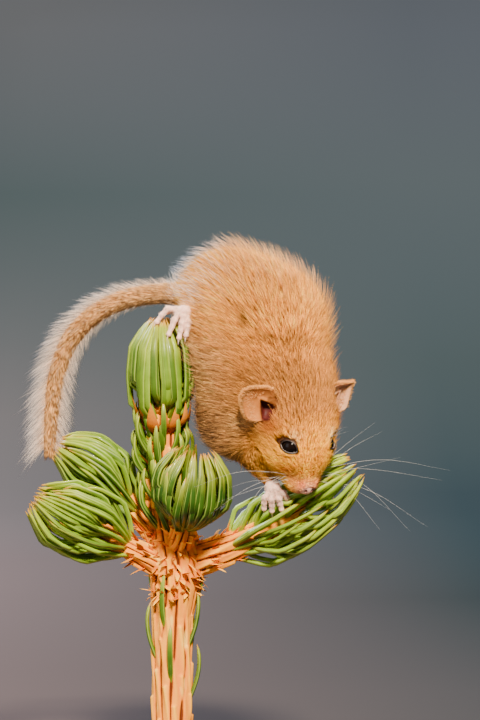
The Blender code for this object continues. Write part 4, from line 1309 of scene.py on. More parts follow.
@dataclass
class Tail:
    """The tail's line, its core under the hair and the reach of the hair."""

    points: tuple[Place, ...] = (
        (-1.0, 6.8, 115.6), (-8.4, 7.6, 116.0), (-16.3, 9.2, 115.0), (-22.6, 10.8, 112.5),
        (-27.5, 12.4, 108.9), (-31.6, 14.0, 103.6), (-34.2, 15.4, 96.2), (-35.4, 16.6, 88.4),
        (-35.8, 17.2, 82.6), (-36.0, 17.6, 79.0),
    )
    core_root: float = 1.9
    core_tip: float = 0.9
    line: Array = field(init=False)

    def __post_init__(self) -> None:
        """Reads the line from its points."""
        self.line = bent_line(self.points, 60)

    def reach(self, share: Array) -> Array:
        """How far the fringe reaches from the tail's line on its outer side."""
        return np.interp(share, (0, 0.15, 0.35, 0.5, 0.75, 1.0), (3.5, 4.0, 5.4, 6.6, 7.8, 7.2))

    def band(self, share: Array) -> Array:
        """The radius of the short hair that lies close to the skin."""
        return np.interp(share, (0, 0.15, 0.5, 0.75, 1.0), (2.8, 2.55, 2.45, 2.1, 1.3))

    def core(self, share: Array) -> Array:
        """The radius of its skin."""
        return np.interp(share, (0, 0.1, 1.0), (self.core_root + 0.5, self.core_root, self.core_tip))

    def at(self, share: Array) -> tuple[Array, Array, Array, Array]:
        """Places along the line with the tail's direction and two ways square to it."""
        places = np.linspace(0, 1, len(self.line))
        step = np.gradient(self.line, axis=0)
        here = np.array([np.interp(share, places, self.line[:, k]) for k in range(3)]).T
        way = unit(np.array([np.interp(share, places, step[:, k]) for k in range(3)]).T)
        side = unit(np.cross(way, (0.1, 1.0, 0.2)))
        return here, way, side, np.cross(way, side)

    def build(self) -> Piece:
        """Its skin, rooted in the rump and rounded at the tip."""
        shares = np.linspace(0, 1, 90)
        here, _, side, up = self.at(shares)
        around = 20
        turn = full_turn(around)
        radius = self.core(shares) * np.sqrt(np.clip((1.012 - shares) / 0.02, 0.05, 1))
        shape = bmesh.new()
        rings = []
        for k in range(len(shares)):
            spokes = np.cos(turn)[:, None] * side[k] + np.sin(turn)[:, None] * up[k]
            rings.append([shape.verts.new(here[k] + spoke * radius[k]) for spoke in spokes])
        for low, high in zip(rings, rings[1:]):
            for k in range(around):
                shape.faces.new((low[k], low[k - 1], high[k - 1], high[k]))
        shape.faces.new(rings[0])
        shape.faces.new(rings[-1][::-1])
        return from_bmesh("tail", shape)


TAIL = Tail()
TAIL_LENGTH = 70
EYES = [Eye(side) for side in Side]
EARS = [Ear(Side.LEFT, length=4.5, width=4.1, point=0.82, lining=(0.92, 0.47, 0.28)), Ear(Side.RIGHT)]


def coat_depth(points: Array) -> Array:
    """How far the skin lies under the coat's surface: least at the nose and by the feet."""
    to_nose = gaps(points, NOSE_TIP)
    depth = np.interp(to_nose, (0, 4, 10, 20, 30), (0.03, 0.12, 0.4, 0.8, 1.2))
    to_joint = least_gaps(points, JOINTS)
    return np.minimum(depth, np.interp(to_joint, (0, 3, 9), (0.15, 0.3, 1.2)))


@dataclass
class Markings:
    """The colours of skin and coat by place: markings, with painted light and shade."""

    back: Colour = (0.86, 0.345, 0.056)
    nape: Colour = (0.52, 0.205, 0.042)
    flank: Colour = (0.78, 0.37, 0.115)
    face: Colour = (1.00, 0.40, 0.012)
    shadow: Colour = (0.18, 0.082, 0.034)
    rust: Colour = (0.36, 0.080, 0.006)
    dusk: Colour = (0.12, 0.050, 0.014)
    cream: Colour = (0.88, 0.50, 0.17)
    pale: Colour = (0.94, 0.66, 0.38)
    pink: Colour = (0.92, 0.30, 0.15)
    bare: Colour = (1.00, 0.62, 0.50)
    flap: Colour = (0.70, 0.27, 0.055)
    band: Colour = (1.00, 0.52, 0.17)
    blood: Colour = (0.07, 0.007, 0.005)
    lid: Colour = (0.045, 0.020, 0.012)
    raw: Colour = (0.72, 0.11, 0.07)
    tip: Colour = (0.98, 0.52, 0.42)

    def coat(self, points: Array) -> Array:
        """The coat's colour at each place."""
        local = HEAD.local(points)
        tints = np.tile(np.array(self.back), (len(points), 1))
        # Painted shade: darker where the body lies lower, over neck, head and forelegs.
        below = np.clip((106 - points[:, 2]) / 9, 0, 1)
        tints = self._toward(tints, self.nape, below)
        sideways = np.clip((11 - points[:, 0]) / 7, 0, 1) * np.clip((109 - points[:, 2]) / 8, 0, 1)
        tints = self._toward(tints, self.flank, sideways)
        # Painted light: the face's brighter colour.
        on_face = np.clip((local[:, 0] - 1) / 7, 0, 1) * np.clip((16 - gaps(local, (5, 0, 0))) / 5, 0, 1)
        tints = self._toward(tints, self.face, on_face)
        underside = np.clip(-(points - (13.0, 2.0, 100.0)) @ unit((0.45, -0.85, 0.1)) / 9 - 0.35, 0, 1)
        low = np.clip((93 - points[:, 2]) / 8, 0, 1) * np.clip((12 - points[:, 0]) / 9, 0, 1)
        tints = self._toward(tints, self.shadow, 0.7 * low)
        throat = np.clip(-(local[:, 2] + 4.5) / 3, 0, 1) * np.clip((13 - local[:, 0]) / 4, 0, 1)
        throat *= np.clip((15 - np.abs(local[:, 1])) / 6, 0, 1) * np.clip((local[:, 0] + 14) / 6, 0, 1)
        tints = self._toward(tints, self.cream, 0.5 * np.maximum(0.5 * throat, underside))
        for place, size, colour, strength in self._patches():
            near = np.linalg.norm((points - place) / size, axis=1)
            tints = self._toward(tints, colour, strength * np.exp(-(near**2)))
        return tints * (1 + 0.10 * ripple(points, 6.0, 1.0) + 0.10 * ripple(points, 2.5, 4.0))[:, None]

    def _patches(self) -> list[tuple[Array, Array | float, Colour, float]]:
        """Soft marks, some of them painted shade and light: place, size, colour and strength."""
        found = [
            (np.array([19.0, -15.0, 104.4]), np.array([6.0, 6.0, 1.8]), self.dusk, 0.50),
            (np.array([11.6, -15.2, 109.6]), np.array([0.9, 4.0, 1.9]), self.dusk, 0.95),
            # Painted shade: a dark band along the whisker pad, between cheek and muzzle.
            (np.array([20.4, -14.0, 75.6]), np.array([2.2, 4.0, 0.7]), self.rust, 0.75),
            (NOSE_TIP, 3.4, self.pink, 0.8), (NOSE_TIP, 1.5, self.tip, 0.9),
        ]
        for side in Side:
            sign = side.value
            found += [
                (HEAD.place(6.6, 5.2 * sign, 5.9), 1.6, self.pale, 0.65),
                (HEAD.place(13.0, 3.0 * sign, -1.8), 1.8, self.pink, 0.55),
                (HEAD.place(15.4, 1.5 * sign, -0.9), 1.0, self.raw, 0.6),
                (HEAD.place(2.2, 8.4 * sign, 2.6), 2.1, self.rust, 0.85),
                (HEAD.place(-7.8, 10.7 * sign, 4.3), 1.1, self.dusk, 0.45),
                (HEAD.place(9.0, 5.0 * sign, -4.5), 2.2, self.cream, 0.35),
                # Painted light: a paler patch under each ear that lifts the ear's shadow.
                (HEAD.place(-0.6, 12.2 * sign, -3.4), 2.4, self.cream, 0.5),
            ]
        return found

    def skin(self, points: Array, normals: Array) -> Array:
        """The skin's colour: the coat's, darker, and bare colours on ears, paws, nose and tail."""
        # Darker than the coat: the underfur's own colour, and painted shade between the hairs.
        tints = self.coat(points) * np.array([0.50, 0.42, 0.40])
        outside = DORMOUSE.distance(points)
        to_tail = least_gaps(points, TAIL.line[::4])
        tints = self._toward(tints, self.band, np.clip(outside + 0.3, 0, 1) * (to_tail < 3.5))
        nose = np.exp(-((gaps(points, NOSE_TIP) / 2.2) ** 2))
        tints = self._toward(tints, self.tip, nose)
        for paw in PAWS:
            near = gaps(points, np.array(paw.palm))
            bare = np.clip((outside + 0.2) / 0.4, 0, 1) * (near < 11)
            tints = self._toward(tints, self.bare, bare)
        for ear in EARS:
            up, front, over = ear.local(points)
            on_ear = (outside > -0.6) & (up**2 + front**2 < 1.3) & (np.abs(over) < 4.6)
            inner = on_ear & (normals @ ear.frame()[3] > 0.05)
            tints = self._toward(tints, self.flap, 0.9 * on_ear)
            tints = self._toward(tints, ear.lining, 0.9 * inner)
            # The ear's hollow: dark red flesh with painted shade of its depth.
            within = (up**2 + front**2 < 0.85) & (over < 1.4) & (over > -6.0)
            tints = self._toward(tints, self.blood, within * ear.hollowed(up, front))
        for eye in EYES:
            tints = self._toward(tints, self.lid, 0.9 * eye.covers(points, 1.28))
        # The nostrils: dark red flesh with painted shade of their depth.
        for side in Side:
            nostril = gaps(points, HEAD.place(*side.of(NOSTRIL)))
            tints = self._toward(tints, self.blood, np.clip(1.6 - 2.2 * nostril, 0, 1))
        return tints

    @staticmethod
    def _toward(tints: Array, colour: Colour, share: Array) -> Array:
        """The tints mixed towards a colour."""
        share = np.asarray(share, float)[:, None]
        return tints * (1 - share) + np.array(colour) * share


MARKINGS_AND_PAINTED_LIGHT = Markings()


@dataclass
class Skin:
    """The one skin under the coat, with lids, nostrils, mouth, ears, paws and tail."""

    voxel: float = 0.45
    face_reach: float = 11.0
    mouth_radius: float = 0.24
    mouth: tuple[Place, ...] = ((8.6, 4.4, -6.2), (11.2, 3.3, -6.2), (13.8, 1.8, -5.4), (15.0, 0.0, -4.2))

    def build(self) -> Piece:
        """The skin, carved, joined, unwrapped and painted, without its material."""
        skin = DORMOUSE.start_mesh("skin", -0.7, self.voxel)
        set_places(skin, DORMOUSE.settled(places_of(skin), lambda points: -coat_depth(points), 5))
        self._refine(skin)
        for eye in EYES:
            eye.carve(skin)
        self._open_face(skin)
        for ear in EARS:
            ear.clear(skin)
        for grown in [TAIL.build(), *(ear.build() for ear in EARS), *(paw.build() for paw in PAWS)]:
            combine(skin, grown, "UNION")
        self._unwrap(skin)
        paint(skin, MARKINGS_AND_PAINTED_LIGHT.skin(places_of(skin), normals_of(skin)))
        smooth(skin, 75.0)
        return skin

    def _refine(self, skin: Piece) -> None:
        """Halves the faces of the muzzle and round the eyes, and settles them."""
        shape = bmesh.new()
        shape.from_mesh(skin.data)
        middle = Vector(HEAD.place(9.0, 0, -0.5) * MM)
        edges = [edge for edge in shape.edges if (edge.verts[0].co - middle).length < self.face_reach * MM]
        bmesh.ops.subdivide_edges(shape, edges=edges, cuts=1, use_grid_fill=True)
        bmesh.ops.triangulate(shape, faces=shape.faces)
        shape.to_mesh(skin.data)
        shape.free()
        set_places(skin, DORMOUSE.settled(places_of(skin), lambda points: -coat_depth(points), 2))

    def _open_face(self, skin: Piece) -> None:
        """Cuts the line of the mouth, the cleft under the nose and the nostrils."""
        half = list(self.mouth)
        whole = half + [(n, -left, c) for n, left, c in half[-2::-1]]
        line = bent_line([HEAD.place(*point) for point in whole], 40)
        cleft = bent_line(
            [HEAD.place(16.9, 0, -2.9), HEAD.place(16.2, 0, -3.6), HEAD.place(15.0, 0, -4.2)], 8
        )
        for path, radius in ((line, self.mouth_radius), (cleft, 0.2)):
            path = DORMOUSE.settled(path, lambda points: -coat_depth(points) - 0.02, 5)
            radii = radius * np.interp(np.linspace(0, 1, len(path)), (0, 0.12, 0.88, 1), (0.3, 1, 1, 0.3))
            plain = bpy.data.materials.new("cutter")
            combine(skin, Sweep.along("groove", [Strand(path, radii)], plain, 8), "DIFFERENCE")
        for side in Side:
            nostril = ball("nostril", HEAD.place(*side.of(NOSTRIL)), NOSTRIL_RADII, HEAD.axes, 16, 10)
            combine(skin, nostril, "DIFFERENCE")

    def _unwrap(self, skin: Piece) -> None:
        """Lays the skin's own shape out flat."""
        bpy.context.view_layer.objects.active = skin
        for other in bpy.context.selected_objects:
            other.select_set(False)
        skin.select_set(True)
        skin.data.uv_layers.new(name="OFBake")
        bpy.ops.object.mode_set(mode="EDIT")
        bpy.ops.mesh.select_all(action="SELECT")
        bpy.ops.uv.smart_project(angle_limit=math.radians(72), island_margin=0.001)
        bpy.ops.object.mode_set(mode="OBJECT")


# The coat.


@dataclass
class Lie:
    """Which way the coat lies."""

    CHUNK = 20000

    spine: tuple[Place, ...] = (
        (19.8, -5.6, 93.0), (15.4, -2.4, 101.0), (11.2, 0.6, 109.0), (6.0, 3.8, 114.4), (-1.0, 6.8, 116.4),
    )
    # Where the lie bends down a limb: place, direction, reach and weight.
    guides: tuple[tuple[Place, Place, float, float], ...] = (
        ((2.0, -6.0, 96.0), (-1.0, 0.0, 0.05), 11.0, 2.4),
        ((6.0, -4.5, 86.0), (-0.75, 0.0, -0.45), 7.0, 2.0),
        ((13.5, -6.5, 77.5), (0.35, -0.2, -0.9), 5.0, 3.0),
        ((22.0, 5.0, 84.0), (0.35, 0.55, -0.6), 6.0, 2.0),
        ((25.5, 1.0, 77.0), (0.45, -0.2, -0.85), 4.0, 3.0),
        ((9.0, 12.0, 103.0), (-0.85, 0.3, 0.2), 7.0, 2.0),
    )
    line: Array = field(init=False)

    def __post_init__(self) -> None:
        """Reads the line from the nose to the root of the tail."""
        self.line = bent_line([NOSE_TIP, HEAD.place(6, 0, -0.5), HEAD.place(-2, 0, 0), *self.spine], 80)

    def ways(self, points: Array) -> tuple[Array, Array]:
        """The direction of the coat at each point, and its share along the spine."""
        firsts = range(0, len(points), self.CHUNK)
        apart = [np.linalg.norm(points[i : i + self.CHUNK, None] - self.line, axis=2) for i in firsts]
        apart = np.concatenate(apart)
        weight = np.exp(-((apart - apart.min(axis=1, keepdims=True)) / 2.5))
        steps = unit(np.gradient(self.line, axis=0))
        total = unit(weight @ steps)
        share = (weight @ np.linspace(0, 1, len(self.line))) / weight.sum(axis=1)
        for place, way, reach, strength in self.guides:
            near = strength * np.exp(-((gaps(points, place) / reach) ** 2))
            total = total + unit(way) * near[:, None]
        sway = ripple(points, 9.0, 2.0), ripple(points, 7.0, 6.0), ripple(points, 8.0, 9.0)
        return unit(unit(total) + 0.13 * np.array(sway).T), share


@dataclass
class Hairs:
    """Hairs ready to be made: roots, the points that each bends through, radii and colours."""

    bends: Array
    sides: Array
    radii: Array
    tints: Array

    def mesh(self, name: str, unwrap: Array) -> Piece:
        """One mesh of closed three-sided hairs, each with its own patch of the skin's unwrap.

        Args:
            name: The piece's name.
            unwrap: Each root's place on the unwrap.

        Returns:
            The piece.
        """
        count, steps = self.bends.shape[:2]
        rings = steps - 1
        ways = unit(np.gradient(self.bends, axis=1))[:, :rings]
        side = unit(np.cross(ways, self.sides[:, None]))
        up = np.cross(side, ways)
        turn = np.array([0.5, 0.5 + 2 / 3, 0.5 + 4 / 3]) * math.pi
        spokes = np.cos(turn)[:, None] * side[:, :, None] + np.sin(turn)[:, None] * up[:, :, None] * 0.7
        corners = self.bends[:, :rings, None] + spokes * self.radii[:, :, None, None]
        points = np.concatenate([corners.reshape(count, rings * 3, 3), self.bends[:, -1:]], axis=1)
        faces = [(0, 2, 1)]
        for ring in range(rings - 1):
            low, high = 3 * ring, 3 * ring + 3
            for k in range(3):
                after = (k + 1) % 3
                faces += [(low + k, low + after, high + after), (low + k, high + after, high + k)]
        last = 3 * rings
        faces += [(last - 3 + k, last - 3 + (k + 1) % 3, last) for k in range(3)]
        each = 3 * rings + 1
        triangles = (np.array(faces)[None] + each * np.arange(count)[:, None, None]).reshape(-1, 3)
        made = from_arrays(name, points.reshape(-1, 3), triangles)
        tints = np.concatenate([np.repeat(self.tints[:, :rings], 3, axis=1), self.tints[:, -1:]], axis=1)
        paint(made, np.clip(tints.reshape(-1, 3), 0, 1))
        across = np.concatenate([np.tile([-0.0012, 0.0012, 0.0], rings), [0.0]])
        length = np.concatenate([np.repeat(np.linspace(-0.0015, 0.0008, rings), 3), [0.0015]])
        patch = unwrap[:, None] + np.array([across, length]).T[None]
        layer = made.data.uv_layers.new(name="OFBake")
        layer.data.foreach_set("uv", patch.reshape(-1, 2)[triangles.ravel()].astype(np.float32).ravel())
        return made


@dataclass
class Coat:
    """The dormouse's fur, from roots spread over the skin."""

    # How much closer the hairs stand at these distances from the nose.
    CLOSER = ((0, 8, 16, 26, 36), (5.0, 4.0, 2.4, 1.3, 1.0))

    skin: Piece
    finish: Material
    hairs: int = 112000
    seed: int = 11
    most_in_piece: int = 19500
    tufts: int = 27000
    lie: Lie = field(default_factory=Lie)
    pieces: tuple[str, ...] = (
        "muzzle", "face", "crown", "neck", "shoulders", "breast", "flanks", "back", "rump"
    )

    def __post_init__(self) -> None:
        """Takes the skin's shape and unwrap into arrays."""
        mesh = self.skin.data
        self.points = places_of(self.skin)
        self.triangles = triangles_of(mesh)
        loops = np.empty(len(mesh.loop_triangles) * 3, np.int32)
        mesh.loop_triangles.foreach_get("loops", loops)
        flat = np.empty(len(mesh.loops) * 2, np.float32)
        mesh.uv_layers["OFBake"].data.foreach_get("uv", flat)
        self.flat = flat.reshape(-1, 2)[loops.reshape(-1, 3)]
        self.tree = BVHTree.FromPolygons(self.points.tolist(), self.triangles.tolist(), all_triangles=True)
        self.draw = np.random.default_rng(self.seed)

    def unwrapped(self, places: Array) -> Array:
        """Each place's nearest point on the skin's unwrap."""
        found = np.array([self.tree.find_nearest(place)[2] for place in places.tolist()])
        return self.flat[found].mean(axis=1)

    def _spread(self, count: int) -> Array:
        """Places spread over the body's skin, closer on the head and the limbs."""
        corners = self.points[self.triangles]
        middle = corners.mean(axis=1)
        area = 0.5 * np.linalg.norm(
            np.cross(corners[:, 1] - corners[:, 0], corners[:, 2] - corners[:, 0]), axis=1
        )
        to_nose = gaps(middle, NOSE_TIP)
        to_joint = least_gaps(middle, JOINTS)
        weight = area * np.interp(to_nose, *self.CLOSER)
        weight *= np.interp(to_joint, (2, 8), (2.0, 1.0))
        weight *= to_nose > 1.5
        on_coat = np.abs(DORMOUSE.distance(middle) + coat_depth(middle)) < 0.25
        for eye in EYES:
            on_coat = (on_coat & ~eye.covers(middle, 1.12)) | eye.on_lids(middle)
        weight *= on_coat
        reach = np.cumsum(weight)
        wanted = (np.arange(count) + self.draw.random(count)) / count * reach[-1]
        chosen = np.searchsorted(reach, wanted)
        share = self.draw.random((count, 2))
        over = share.sum(axis=1) > 1
        share[over] = 1 - share[over]
        a, b, c = corners[chosen].transpose(1, 0, 2)
        return a + (b - a) * share[:, :1] + (c - a) * share[:, 1:]

    def body(self) -> None:
        """The fur of head, body and limbs, in pieces along the spine."""
        places = self._spread(self.hairs)
        slope = DORMOUSE.slope(places)
        normals = unit(slope)
        ways, share = self.lie.ways(places)
        ways = unit(ways - normals * dots(ways, normals)[:, None])
        count, draw = len(places), self.draw
        to_nose = gaps(places, NOSE_TIP)
        to_joint = least_gaps(places, JOINTS)
        length = np.interp(to_nose, (0, 3, 7, 12, 20, 30, 44), (0.75, 0.95, 1.25, 1.6, 2.1, 2.7, 3.1))
        length *= np.interp(to_joint, (1, 4, 10), (0.3, 0.55, 1.0)) * draw.uniform(0.75, 1.2, count)
        width = np.interp(to_nose, (0, 3, 8, 20, 36), (0.036, 0.044, 0.048, 0.056, 0.066))
        depth = coat_depth(places)
        proud = depth * draw.uniform(0.75, 1.3, count) + 0.16 * length * draw.uniform(0.1, 1.0, count) + 0.05
        kind = draw.random(count)
        guard = kind < 0.11
        halo = kind > np.interp(to_nose, (0, 3, 9, 26, 34, 42), (1.0, 0.97, 0.97, 0.965, 0.93, 0.915))
        length = np.where(guard | halo, 1.35 * length, length)
        stands = np.interp(to_nose, (0, 9, 26, 40), (0.5, 0.5, 0.55, 0.8)) * draw.uniform(0.7, 1.1, count)
        proud += np.where(guard, 0.24, np.where(halo, stands, 0.0)) * length + np.interp(
            to_nose, (1, 4, 8, 13), (0.12, 0.30, 0.26, 0.0)
        )
        width = width * np.where(guard, 0.8, np.where(halo, 0.55, 1.0))
        which, middles = self._tufts(places, to_nose)
        bends = self._bent(places, normals, ways, length, proud, depth, which, middles)
        hidden = np.zeros(count, bool)
        for eye in EYES:
            hidden |= eye.covers(bends[:, 1]) | eye.covers(bends[:, 2])
        for ear in EARS:
            hidden |= ear.holds(bends[:, 1]) | ear.holds(bends[:, 2])
        keep = ~hidden
        tints = self._hair_tints(places, guard, halo, length, which, to_nose)
        radii = width[:, None] * np.array([0.9, 1.0])
        order = np.argsort(share[keep])
        self._split(
            "coat",
            Hairs(bends[keep][order], normals[keep][order], radii[keep][order], tints[keep][order]),
            self.pieces,
        )

    def _tufts(self, places: Array, to_nose: Array) -> tuple[Array, Array]:
        """Which small tuft each hair belongs to, and the tufts' middles, evenly spread."""
        chance = 1 / np.interp(to_nose, *self.CLOSER)
        middles = places[self.draw.choice(len(places), self.tufts, replace=False, p=chance / chance.sum())]
        tree = KDTree(len(middles))
        for number, middle in enumerate(middles.tolist()):
            tree.insert(middle, number)
        tree.balance()
        return np.array([tree.find(place)[1] for place in places.tolist()]), middles

    def _bent(
        self, places: Array, normals: Array, ways: Array, length: Array, proud: Array, depth: Array,
        which: Array, middles: Array,
    ) -> Array:
        """The points that each hair bends through, over the body's own curve and drawn together in tufts."""
        sway = self.draw.normal(0, 0.07, (len(middles), 3))[which]
        jitter = self.draw.normal(0, 0.07, (len(places), 3))
        gather = middles[which] - places
        bends = [places - normals * 0.12]
        for step in (0.45, 1.0):
            lean = unit(ways + (sway + jitter) * step)
            lean = unit(lean - normals * dots(lean, normals)[:, None])
            point = places + lean * (length * step)[:, None] + gather * 0.3 * step
            rise = proud * step**0.75
            for _ in range(2):
                slope = DORMOUSE.slope(point)
                steep = np.maximum(dots(slope, slope), 0.3)
                off = DORMOUSE.distance(point) - (rise - depth)
                point = point - slope * (np.clip(off, -2.5, 2.5) / steep)[:, None]
            for eye in EYES:
                point = eye.over_lids(point)
            bends.append(point)
        return np.array(bends).transpose(1, 0, 2)

    def _hair_tints(
        self, places: Array, guard: Array, halo: Array, length: Array, which: Array, to_nose: Array
    ) -> Array:
        """Root, middle and tip colours of each hair."""
        count, draw = len(places), self.draw
        tuft = draw.normal(1.0, 0.19, self.tufts)[which]
        on_muzzle = np.interp(to_nose, (6, 11), (1.0, 0.0))
        base = MARKINGS_AND_PAINTED_LIGHT.coat(places) * (
            tuft * (1 + draw.normal(0, 1, count) * (0.15 + 0.12 * on_muzzle))
        )[:, None]
        dark_tip = guard & (draw.random(count) < 0.55) & (length > 1.8)
        # Darker roots: the underfur's own colour, and painted shade deep in the coat.
        root = base * np.array([0.42, 0.34, 0.32])
        tip = base * 1.25 + 0.01
        tip = np.where(dark_tip[:, None], base * np.array([0.22, 0.18, 0.18]), tip)
        pale = (guard & ~dark_tip) | (draw.random(count) < 0.32 * on_muzzle)
        tip = np.where(pale[:, None], tip * 0.6 + (0.39, 0.22, 0.025), tip)
        # Painted rim light: halo hairs at the top and left of back and rump turn pale blue-white towards
        # their tips.
        edge = np.clip((places[:, 2] - 110) / 6, 0.1, 1.0) * np.clip((12 - places[:, 0]) / 10, 0.2, 1.0)
        far = (halo * np.interp(to_nose, (24, 34), (0.35, 1.0)) * edge)[:, None]
        tip = tip * (1 - far) + np.array([0.82, 0.82, 0.84]) * far
        middle = base * (1 - 0.7 * far) + np.array([0.50, 0.42, 0.36]) * far
        return np.array([root, middle, tip]).transpose(1, 0, 2)

    def _split(self, label: str, hairs: Hairs, names: Sequence[str]) -> None:
        """Makes the hairs in pieces small enough, named along the body."""
        total = len(hairs.bends)
        per_hair = 4 + 6 * (hairs.bends.shape[1] - 2)
        parts = max(1, math.ceil(total * per_hair / (self.most_in_piece * 10)))
        for number, chosen in enumerate(np.array_split(np.arange(total), parts)):
            name = names[min(number * len(names) // parts, len(names) - 1)]
            piece = Hairs(hairs.bends[chosen], hairs.sides[chosen], hairs.radii[chosen], hairs.tints[chosen])
            made = piece.mesh(f"{label}_{name}_{number + 1}", self.unwrapped(piece.bends[:, 0]))
            dress(made, self.finish, "fur")

    def tail(self, under: int = 11500, fringe: int = 3300) -> None:
        """The tail's coat: an even orange band on its core, and a long pale fringe down both sides."""
        draw = self.draw
        for label, count, width in (("under", under, 0.085), ("fringe", fringe, 0.030)):
            share = np.sort(draw.uniform(0.015, 0.995, count) ** (0.85 if label == "fringe" else 1.0))
            turn = draw.uniform(0, 2 * math.pi, count)
            if label == "fringe":
                spread = np.where(draw.random(count) < 0.1, 1.0, 0.30)
                turn = np.where(draw.random(count) < 0.56, math.pi, 0) + draw.normal(0, 1, count) * spread
            here, _, side, up = TAIL.at(share)
            spoke = np.cos(turn)[:, None] * side + np.sin(turn)[:, None] * up
            core, reach = TAIL.core(share), TAIL.reach(share)
            sway = draw.normal(0, 0.06 if label == "fringe" else 0.02, (count, 3))
            if label == "fringe":
                tall = np.where(np.cos(turn) < 0, reach, 0.78 * reach) - core
                rise = draw.uniform(0.25, 1.08, count) * tall * np.where(np.abs(np.cos(turn)) < 0.75, 0.45, 1)
                forward = rise * draw.uniform(0.8, 1.5, count) + 0.4
                sway += 0.09 * np.array([ripple(here + spoke * 3, 0.9, s) for s in (1.0, 4.0, 7.0)]).T
            else:
                rise = (TAIL.band(share) - core) * draw.uniform(0.6, 1.03, count)
                forward = draw.uniform(2.4, 4.0, count)
            bends = [here + spoke * (core - 0.1)[:, None]]
            for step in (0.3, 0.65, 1.0):
                ahead = share + step**1.1 * forward / TAIL_LENGTH
                there, onward, _, _ = TAIL.at(np.clip(ahead, 0, 1))
                past = np.maximum(ahead - 1, 0) * TAIL_LENGTH
                out = (core + rise * step**0.85)[:, None]
                bends.append(there + onward * past[:, None] + (spoke + sway * step) * out)
            bends = np.array(bends).transpose(1, 0, 2)
            # Painted shade: darker on the tail's underside near its root, and towards the root.
            low = np.clip(np.cos(turn), 0, 1) * np.interp(share, (0, 0.1, 0.45), (1.0, 0.8, 0.2))
            shade = np.interp(share, (0, 0.15, 0.4, 1), (0.62, 0.85, 1.0, 1.0)) * (1 - 0.45 * low)
            base = np.array(MARKINGS_AND_PAINTED_LIGHT.band) * (shade * draw.normal(1, 0.05, count))[:, None]
            # Pale fringe tips: the hairs' own paleness, and painted backlight.
            pale = np.array([0.82, 0.70, 0.63])
            wash = np.interp(share, (0, 0.12, 0.3), (0.5, 0.8, 1.0))[:, None] * (
                1.0 if label == "fringe" else 0.1
            )
            tones = [base * (1 - step * wash) + pale * step * wash for step in (0.0, 0.6, 0.9, 1.0)]
            outside = DORMOUSE.distance(bends[:, 2]) > 0.2
            radii = width * np.array([0.9, 1.0, 0.75]) * np.ones((count, 1))
            hairs = Hairs(
                bends[outside], spoke[outside], radii[outside], np.array(tones).transpose(1, 0, 2)[outside]
            )
            self._split("tail_" + label, hairs, ("base", "middle", "tip"))

    def ears(self, count: int = 3600) -> None:
        """Short hair on the ears."""
        for ear in EARS:
            roots = ear.roots(self.draw, count)
            size = len(roots.places)
            length = self.draw.uniform(0.6, 1.15, size)
            bends = [roots.places - roots.normals * 0.1]
            for step, rise in ((0.5, 0.22), (1.0, 0.34)):
                bends.append(roots.places + roots.ways * (length * step)[:, None] + roots.normals * rise)
            tone = np.where(roots.inside[:, None], np.array([0.85, 0.42, 0.15]), np.array([0.86, 0.38, 0.10]))
            tone = tone * self.draw.normal(1, 0.1, size)[:, None]
            tints = np.array([tone * 0.7, tone, tone * 1.15]).transpose(1, 0, 2)
            radii = np.full((size, 2), 0.035)
            self._split(
                "coat_ear",
                Hairs(np.array(bends).transpose(1, 0, 2), roots.normals, radii, tints),
                (ear.side.word,),
            )

    def paws(self, count: int = 900) -> None:
        """Fine short hair on the backs of the paws."""
        for paw in PAWS:
            flesh = paw.flesh()
            draw = self.draw
            starts = np.concatenate([[paw.palm], *(line[1:4] for line in paw.lines())])
            places = starts[draw.integers(0, len(starts), count)]
            places = places + draw.normal(0, 0.9, (count, 3)) + (0, -0.4, 0.5)
            places = flesh.settled(places, lambda points: np.zeros(len(points)), 6)
            normals = unit(flesh.slope(places))
            ways = unit(np.mean([line[-1] for line in paw.lines()], axis=0) - paw.palm)
            ways = unit(ways - normals * (normals @ ways)[:, None])
            length = draw.uniform(0.4, 0.8, count)
            bends = [places - normals * 0.08]
            for step, rise in ((0.5, 0.12), (1.0, 0.2)):
                bends.append(places + ways * (length * step)[:, None] + normals * rise)
            tone = np.array([1.00, 0.74, 0.61]) * draw.normal(1, 0.08, count)[:, None]
            tints = np.array([tone * 0.85, tone, tone * 1.1]).transpose(1, 0, 2)
            keep = (DORMOUSE.distance(places) > -0.1) & (normals[:, 1] * 0.6 - normals[:, 2] * 0.8 < 0.35)
            hairs = Hairs(
                np.array(bends).transpose(1, 0, 2)[keep], normals[keep], np.full((keep.sum(), 2), 0.028),
                tints[keep],
            )
            self._split("coat_paw", hairs, (paw.name,))


